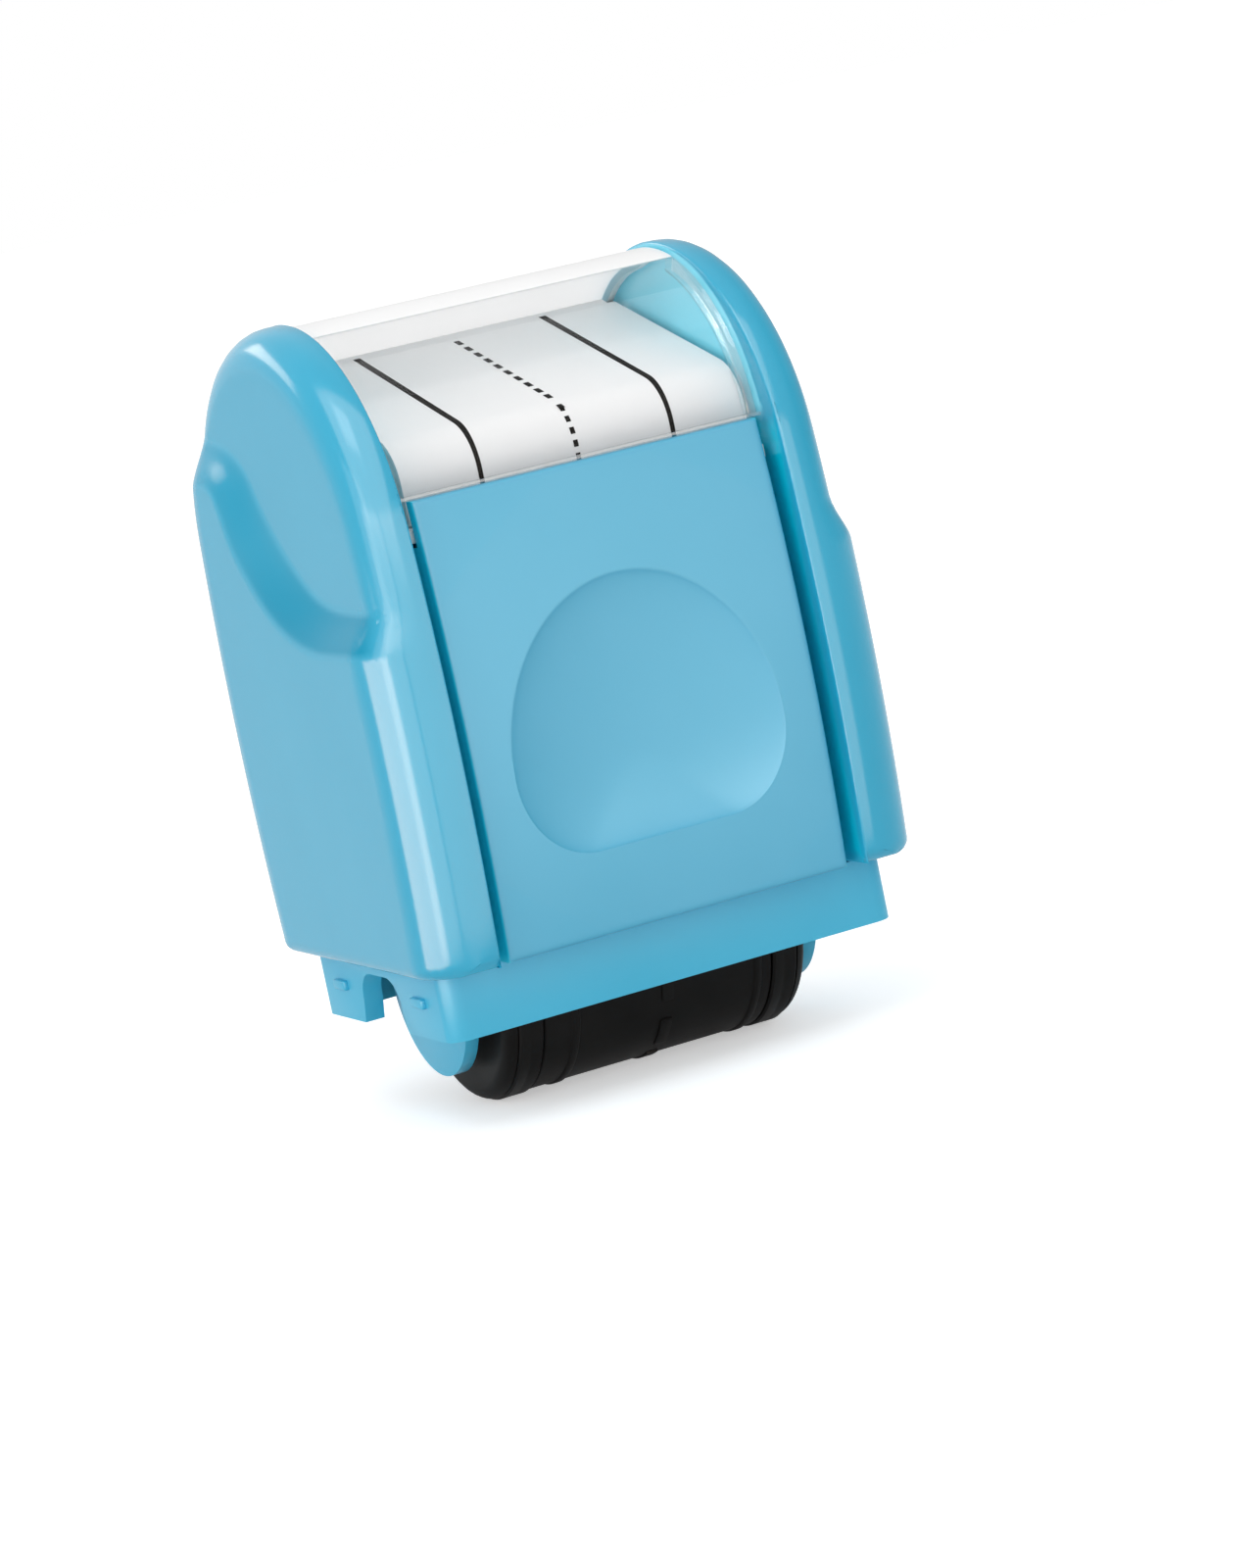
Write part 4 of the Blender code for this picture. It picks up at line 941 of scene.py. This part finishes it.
def dashesAlong(values):
    # Short flat dashes at even steps along the piece's own line
    tree, given, out = nodeTree("dashesAlong", values)
    curve, spots, tangent, dash, real, paint = geometryNodes(
        tree, "MeshToCurve", "InstanceOnPoints", "InputTangent", "MeshCube", "RealizeInstances", "SetMaterial")
    sample = addNode(tree, "GeometryNodeResampleCurve", mode="LENGTH")
    turn = addNode(tree, "FunctionNodeAlignRotationToVector", axis="Y", pivot_axis="X")
    size = addNode(tree, "CombineXYZ")
    feed(tree, given, ("Pitch", "Length", sample), ("Width", "X", size), ("Length", "Y", size), ("Stand", "Z", size),
         ("Material", "Material", paint))
    wire(tree, size, "Vector", "Size", dash, "Mesh", "Instance", spots)
    wire(tree, tangent, "Tangent", "Vector", turn, "Rotation", "Rotation", spots)
    wire(tree, given, "Geometry", "Mesh", curve, "Curve", "Curve", sample, "Curve", "Points", spots,
         "Instances", "Geometry", real)
    geometryRow(tree, real, paint, out)
    return tree


def makeDashedLine():
    # One run of dashes up the front and one along the ramp, where they are longer
    path = alongLine(np.array(cardPath(0, card["dashEnd"])), lambda length: np.arange(0, length + 1e-6, 0.1))
    rampStart = card["dashes"]["dashedLineRamp"][0]
    for name, (low, high, length, pitch) in card["dashes"].items():
        onRamp = "Ramp" in name
        run = [(card["offset"], y, z) for y, z in path
               if low <= (y if onRamp else z) <= high and (onRamp or y < rampStart - card["dashGap"])]
        dashes = runTree(linePiece(name, run), dashesAlong, {
            "Pitch": pitch * mm, "Length": length * mm, "Width": card["rampDashWidth" if onRamp else "lineWidth"] * mm,
            "Stand": 2 * card["inkStand"] * mm, "Material": finish["printedInk"],
        })
        seat(dashes, "housing", "label_card")


makeDashedLine()
print("card made")


roller = {
    "height": 9.93, "radius": 9.93, "sleeveRadius": 9.78, "sleeveHalf": 9.9, "bore": 8.9, "ribHalf": 0.3,
    "offset": 0.7, "spacing": 7.94, "dashCount": 12, "dashShare": 0.63, "dashPhase": 47.4, "dashWidth": 1.0,
    "dashSunk": 0.3, "dashEdge": 0.06, "sleeveEdge": 0.1, "ribSlope": 0.08, "ribEdge": 0.05,
    "ringInner": 10.0, "ringOuter": 12.1, "ringEdge": 0.15, "grooveHalf": 0.16, "grooveDepth": 0.05,
    "flangeRadius": 9.8, "flangeInner": 12.2, "drumHalf": 13.2, "flangeRound": 1.2, "hubRadius": 4.0, "hubHalf": 13.5,
    "hubEdge": 0.15, "hubFoot": 0.1, "drumRadius": 8.8, "axleBore": 2.01, "steps": 160,
}


def dashRing(values):
    # Raised dashes at even turns round a circle, built about Z and then laid along X
    tree, given, out = nodeTree("dashRing", values)
    box, index, ring, real, move, paint = geometryNodes(
        tree, "CurvePrimitiveQuadrilateral", "InputIndex", "InstanceOnPoints", "RealizeInstances", "Transform",
        "SetMaterial")
    arc = addNode(tree, "GeometryNodeCurveArc", {"Resolution": 12})
    sweep = addNode(tree, "GeometryNodeCurveToMesh", {"Fill Caps": True})
    spots = addNode(tree, "GeometryNodeMeshLine", {"Offset": (0, 0, 0)})
    lay = addNode(tree, "GeometryNodeTransform", {"Rotation": (0, math.pi / 2, 0)})
    each = addNode(tree, "Math", {0: 2 * math.pi}, operation="DIVIDE")
    spin, turn = addNode(tree, "Math", operation="MULTIPLY_ADD"), addNode(tree, "CombineXYZ")
    feed(tree, given, ("Radius", "Radius", arc), ("Sweep", "Sweep Angle", arc), ("Height", "Width", box),
         ("Width", "Height", box), ("Count", "Count", spots), ("Count", 1, each), ("Phase", 2, spin),
         ("Centre", "Translation", move), ("Material", "Material", paint))
    wire(tree, index, "Index", 0, spin)
    wire(tree, each, "Value", 1, spin, "Value", "Z", turn, "Vector", "Rotation", ring)
    wire(tree, box, "Curve", "Profile Curve", sweep)
    wire(tree, arc, "Curve", "Curve", sweep, "Mesh", "Instance", ring)
    wire(tree, spots, "Mesh", "Points", ring, "Instances", "Geometry", real)
    geometryRow(tree, real, lay, move, paint, out)
    return tree


def turnedPiece(name, profile, look, node):
    piece = latheX(name, profile, roller["height"], roller["steps"], look)
    seat(piece, "stamp_roller", node, True)


def makeRoller():
    r = roller
    low, full, edge = r["sleeveRadius"], r["radius"], r["sleeveEdge"]
    ends = [(r["sleeveHalf"], r["bore"]), (r["sleeveHalf"], low - edge), (r["sleeveHalf"] - edge, low)]
    profile = [(-x, radius) for x, radius in ends]
    for side in (-1, 1):
        x = r["offset"] + side * r["spacing"]
        half, slope = r["ribHalf"], r["ribSlope"]
        profile += [(x - half - slope, low), (x - half, full - r["ribEdge"]), (x - half + slope, full),
                    (x + half - slope, full), (x + half, full - r["ribEdge"]), (x + half + slope, low)]
    turnedPiece("printSleeve", profile + ends[::-1], "inkedBlack", "print_sleeve")

    sweep = 2 * math.pi / r["dashCount"] * r["dashShare"]
    half = (full - low + r["dashSunk"]) / 2
    dashes = runTree(linePiece("printDashes", [(0, 0, 0), (0, 0, 1)]), dashRing, {
        "Count": r["dashCount"], "Radius": (full - half) * mm, "Sweep": sweep,
        "Phase": math.radians(r["dashPhase"]) + math.pi - sweep / 2,
        "Width": r["dashWidth"] * mm, "Height": 2 * half * mm,
        "Centre": (r["offset"] * mm, 0.0, r["height"] * mm), "Material": finish["inkedBlack"],
    })
    softEdges(dashes, r["dashEdge"], 2)
    seat(dashes, "stamp_roller", "print_sleeve")

    near, far, edge = r["ringInner"], r["ringOuter"], r["ringEdge"]
    mid = (near + far) / 2
    band = [(near, r["bore"]), (near, full - edge), (near + edge, full), (mid - r["grooveHalf"], full),
            (mid, full - r["grooveDepth"]), (mid + r["grooveHalf"], full), (far - edge, full), (far, full - edge),
            (far, r["bore"])]
    for name, side, node in (("leftBearerRing", -1, "left_bearer_ring"), ("rightBearerRing", 1, "right_bearer_ring")):
        turnedPiece(name, [(side * x, radius) for x, radius in band], "inkedBlack", node)

    rim = r["drumHalf"] - r["flangeRound"]
    half = [(r["hubHalf"], r["axleBore"]), (r["hubHalf"], r["hubRadius"] - r["hubEdge"]),
            (r["hubHalf"] - r["hubEdge"], r["hubRadius"]), (r["drumHalf"], r["hubRadius"] + r["hubFoot"])]
    half += arcPoints((rim, r["flangeRadius"] - r["flangeRound"]), r["flangeRound"], 0, math.radians(84), 10)
    half += [(r["flangeInner"], r["flangeRadius"]), (r["flangeInner"], r["drumRadius"])]
    half = [p for p in half if p[0] >= r["flangeInner"]]
    turnedPiece("stampDrum", half + [(-x, y) for x, y in reversed(half)], "drumBlack", "stamp_drum")


makeRoller()
print("roller made")


spring = {"place": 7.0, "radius": 1.9, "wire": 0.25, "turns": 5.0, "low": 33.01, "high": 37.65, "keep": 0.78}


def woundSpring(values):
    # One wound wire
    tree, given, out = nodeTree("woundSpring", values)
    helix = addNode(tree, "GeometryNodeCurveSpiral", {"Resolution": 32})
    circle = addNode(tree, "GeometryNodeCurvePrimitiveCircle", {"Resolution": 12})
    tube = addNode(tree, "GeometryNodeCurveToMesh", {"Fill Caps": True})
    smooth, move, real, paint = geometryNodes(tree, "SetShadeSmooth", "Transform", "RealizeInstances", "SetMaterial")
    feed(tree, given, ("Turns", "Rotations", helix), ("Radius", "Start Radius", helix),
         ("Radius", "End Radius", helix), ("Height", "Height", helix), ("Wire", "Radius", circle),
         ("Centre", "Translation", move), ("Material", "Material", paint))
    wire(tree, circle, "Curve", "Profile Curve", tube)
    wire(tree, helix, "Curve", "Curve", tube, "Mesh", "Geometry", smooth)
    geometryRow(tree, smooth, move, real, paint, out)
    return tree


def makeSprings():
    s = spring
    for name, side in (("left_cradle_spring", -1), ("right_cradle_spring", 1)):
        coil = runTree(linePiece(name.replace("_", "") + "Coil", [(0, 0, 0), (0, 0, 1)]), woundSpring, {
            "Turns": s["turns"], "Radius": s["radius"] * mm, "Wire": s["wire"] * mm,
            "Height": (s["high"] - s["low"]) * mm, "Centre": (side * s["place"] * mm, 0.0, s["low"] * mm),
            "Material": finish["springSteel"],
        })
        seat(coil, "housing", name, True)
        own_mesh(coil)


makeSprings()

kept = {
    "left_axle_bush": "bushWhite", "right_axle_bush": "bushWhite",
    "bridge": "mechanismGrey", "stamp_axle": "axleSteel", "ink_cradle": "mechanismGrey",
    "ink_core": "mechanismGrey", "ink_felt": "inkFelt", "ink_axle": "axleSteel",
}
for node, look in kept.items():
    mesh = frame["nodes"][node].data
    mesh.materials.clear()
    mesh.materials.append(finish[look])
print("mechanism dressed")


studio = {
    "floorSize": 6.0, "floorTone": 0.80, "floorLift": 0.46, "mirroredLift": 0.12,
    "ambient": 0.92, "dimmerWay": (1, 0.3, 0), "dimmerOver": (0.35, 0.8), "dimmest": 0.45,
    "camera": (-0.15376, -0.36985, 0.08095),
    "azimuth": -23.2, "elevation": 8.44, "roll": -11.64, "lens": 118.5,
    "lamps": [
        # name, place, size, brightness, colour, and what it glints in: None where it lights everything
        ("keyTop", (-0.30, -0.40, 0.85), (0.4, 0.4), 3.0, (1, 1, 1), None),
        ("fillLeft", (-0.80, -0.30, 0.20), (0.5, 0.5), 1.5, (1, 1, 1), None),
        ("glintLeft", (-0.058, -0.019, 0.020), (0.042, 0.038), 7.6, (1, 0.68, 0.52), "solid"),
        ("glintFrontLeft", (-0.047, -0.043, 0.030), (0.033, 0.058), 3.4, (1, 0.80, 0.65), "solid"),
        ("glintFront", (0.002, -0.055, 0.030), (0.072, 0.058), 2.8, (1, 0.80, 0.65), "solid"),
        ("glintHigh", (-0.12, -0.26, 0.31), (0.60, 0.60), 3.2, (1, 0.80, 0.65), "solid"),
        ("glintBack", (-0.158, 0.252, 0.195), (0.20, 0.07), 4.0, (1, 0.80, 0.65), "solid"),
        ("glintTop", (0.0, -0.085, 0.60), (0.70, 0.35), 2.2, (1, 1, 1), "cover"),
    ],
    "aimHeight": 0.03, "uprightBelow": 0.05,  # the low lamps stand upright on the floor
}


def makeWorld():
    world = bpy.data.worlds.new("studioWorld")
    bpy.context.scene.world = world
    world.use_nodes = True
    tree = world.node_tree
    sky = tree.nodes["Background"]
    setInputs(sky, {"Color": (1, 1, 1, 1)})
    # White for camera, mirror and see-through rays, and the ambient level for the rest
    path, mirrored = addNode(tree, "LightPath"), addNode(tree, "Mix")
    first, both = (addNode(tree, "Math", operation="MAXIMUM") for _ in range(2))
    level = mapRange(tree, (0.0, 1.0), (studio["ambient"], 1.0))
    wire(tree, path, "Is Glossy Ray", 1, first)
    wire(tree, path, "Is Transmission Ray", 1, both)
    wire(tree, path, "Is Camera Ray", 0, first, "Value", 0, both, "Value", "Value", level, "Result", "A", mirrored)
    # In mirrors the studio falls off from the white backdrop towards its upper right
    lean = addNode(tree, "VectorMath", {1: Vector(studio["dimmerWay"]).normalized()}, operation="DOT_PRODUCT")
    dim = mapRange(tree, studio["dimmerOver"], (1.0, studio["dimmest"]), interpolation_type="SMOOTHSTEP")
    wire(tree, addNode(tree, "TexCoord"), "Generated", 0, lean, "Value", "Value", dim, "Result", "B", mirrored)
    wire(tree, path, "Is Glossy Ray", "Factor", mirrored, "Result", "Strength", sky)


def makeFloor():
    # Pale floor, lifted to white for the camera and a little in mirrors
    finish["floorPale"], tree, shader = nodeMaterial("floorPale", {
        "Base Color": (studio["floorTone"],) * 3 + (1,), "Roughness": 0.9, "Specular IOR Level": 0.0,
        "Emission Color": (1, 1, 1, 1)})
    path = addNode(tree, "LightPath")
    seen = addNode(tree, "Math", {1: studio["floorLift"]}, operation="MULTIPLY")
    lift = addNode(tree, "Math", {1: studio["mirroredLift"]}, operation="MULTIPLY_ADD")
    wire(tree, path, "Is Glossy Ray", 0, lift)
    wire(tree, path, "Is Camera Ray", 0, seen, "Value", 2, lift, "Value", "Emission Strength", shader)
    half = studio["floorSize"] / 2 / mm
    corners = [(-half, -half, 0), (half, -half, 0), (half, half, 0), (-half, half, 0)]
    addPiece("studioFloor", corners, [(0, 1, 2, 3)], "floorPale")


def makeLamps():
    groups = {name: bpy.data.collections.new(f"{name}Pieces") for name in ("solid", "cover")}
    for piece in bpy.context.scene.objects:
        if piece.type == "MESH":
            group = "cover" if piece.name.startswith(("clear", "window", "label")) else "solid"
            groups[group].objects.link(piece)
    for name, place, (width, height), brightness, colour, glintsIn in studio["lamps"]:
        lamp = bpy.data.lights.new(name, "AREA")
        lamp.shape, lamp.size, lamp.size_y = "RECTANGLE", width, height
        lamp.color, lamp.energy = colour, brightness * math.pi * width * height
        holder = bpy.data.objects.new(name, lamp)
        holder.location = place
        aim = Vector((0, 0, place[2] if place[2] < studio["uprightBelow"] else studio["aimHeight"]))
        holder.rotation_euler = (aim - Vector(place)).to_track_quat("-Z", "Y").to_euler()
        if glintsIn:
            holder.light_linking.receiver_collection = groups[glintsIn]
            holder.visible_diffuse = holder.visible_transmission = holder.visible_camera = False
        bpy.context.scene.collection.objects.link(holder)


def makeCamera():
    azimuth, elevation, roll = (math.radians(studio[key]) for key in ("azimuth", "elevation", "roll"))
    back = Vector((math.sin(azimuth) * math.cos(elevation), -math.cos(azimuth) * math.cos(elevation),
                   math.sin(elevation)))
    right = Vector((math.cos(azimuth), math.sin(azimuth), 0))
    up = back.cross(right)
    across = math.cos(roll) * right + math.sin(roll) * up
    upward = -math.sin(roll) * right + math.cos(roll) * up
    lens = bpy.data.cameras.new("photoCamera")
    lens.sensor_fit, lens.sensor_height, lens.lens = "VERTICAL", 36.0, studio["lens"]
    lens.clip_start, lens.clip_end = 0.01, 20.0
    holder = bpy.data.objects.new("photoCamera", lens)
    holder.matrix_world = Matrix.Translation(studio["camera"]) @ Matrix((across, upward, back)).transposed().to_4x4()
    bpy.context.scene.collection.objects.link(holder)
    bpy.context.scene.camera = holder


makeWorld()
makeFloor()
makeLamps()
makeCamera()
bpy.context.scene.view_settings.view_transform = "Standard"
print("studio made")
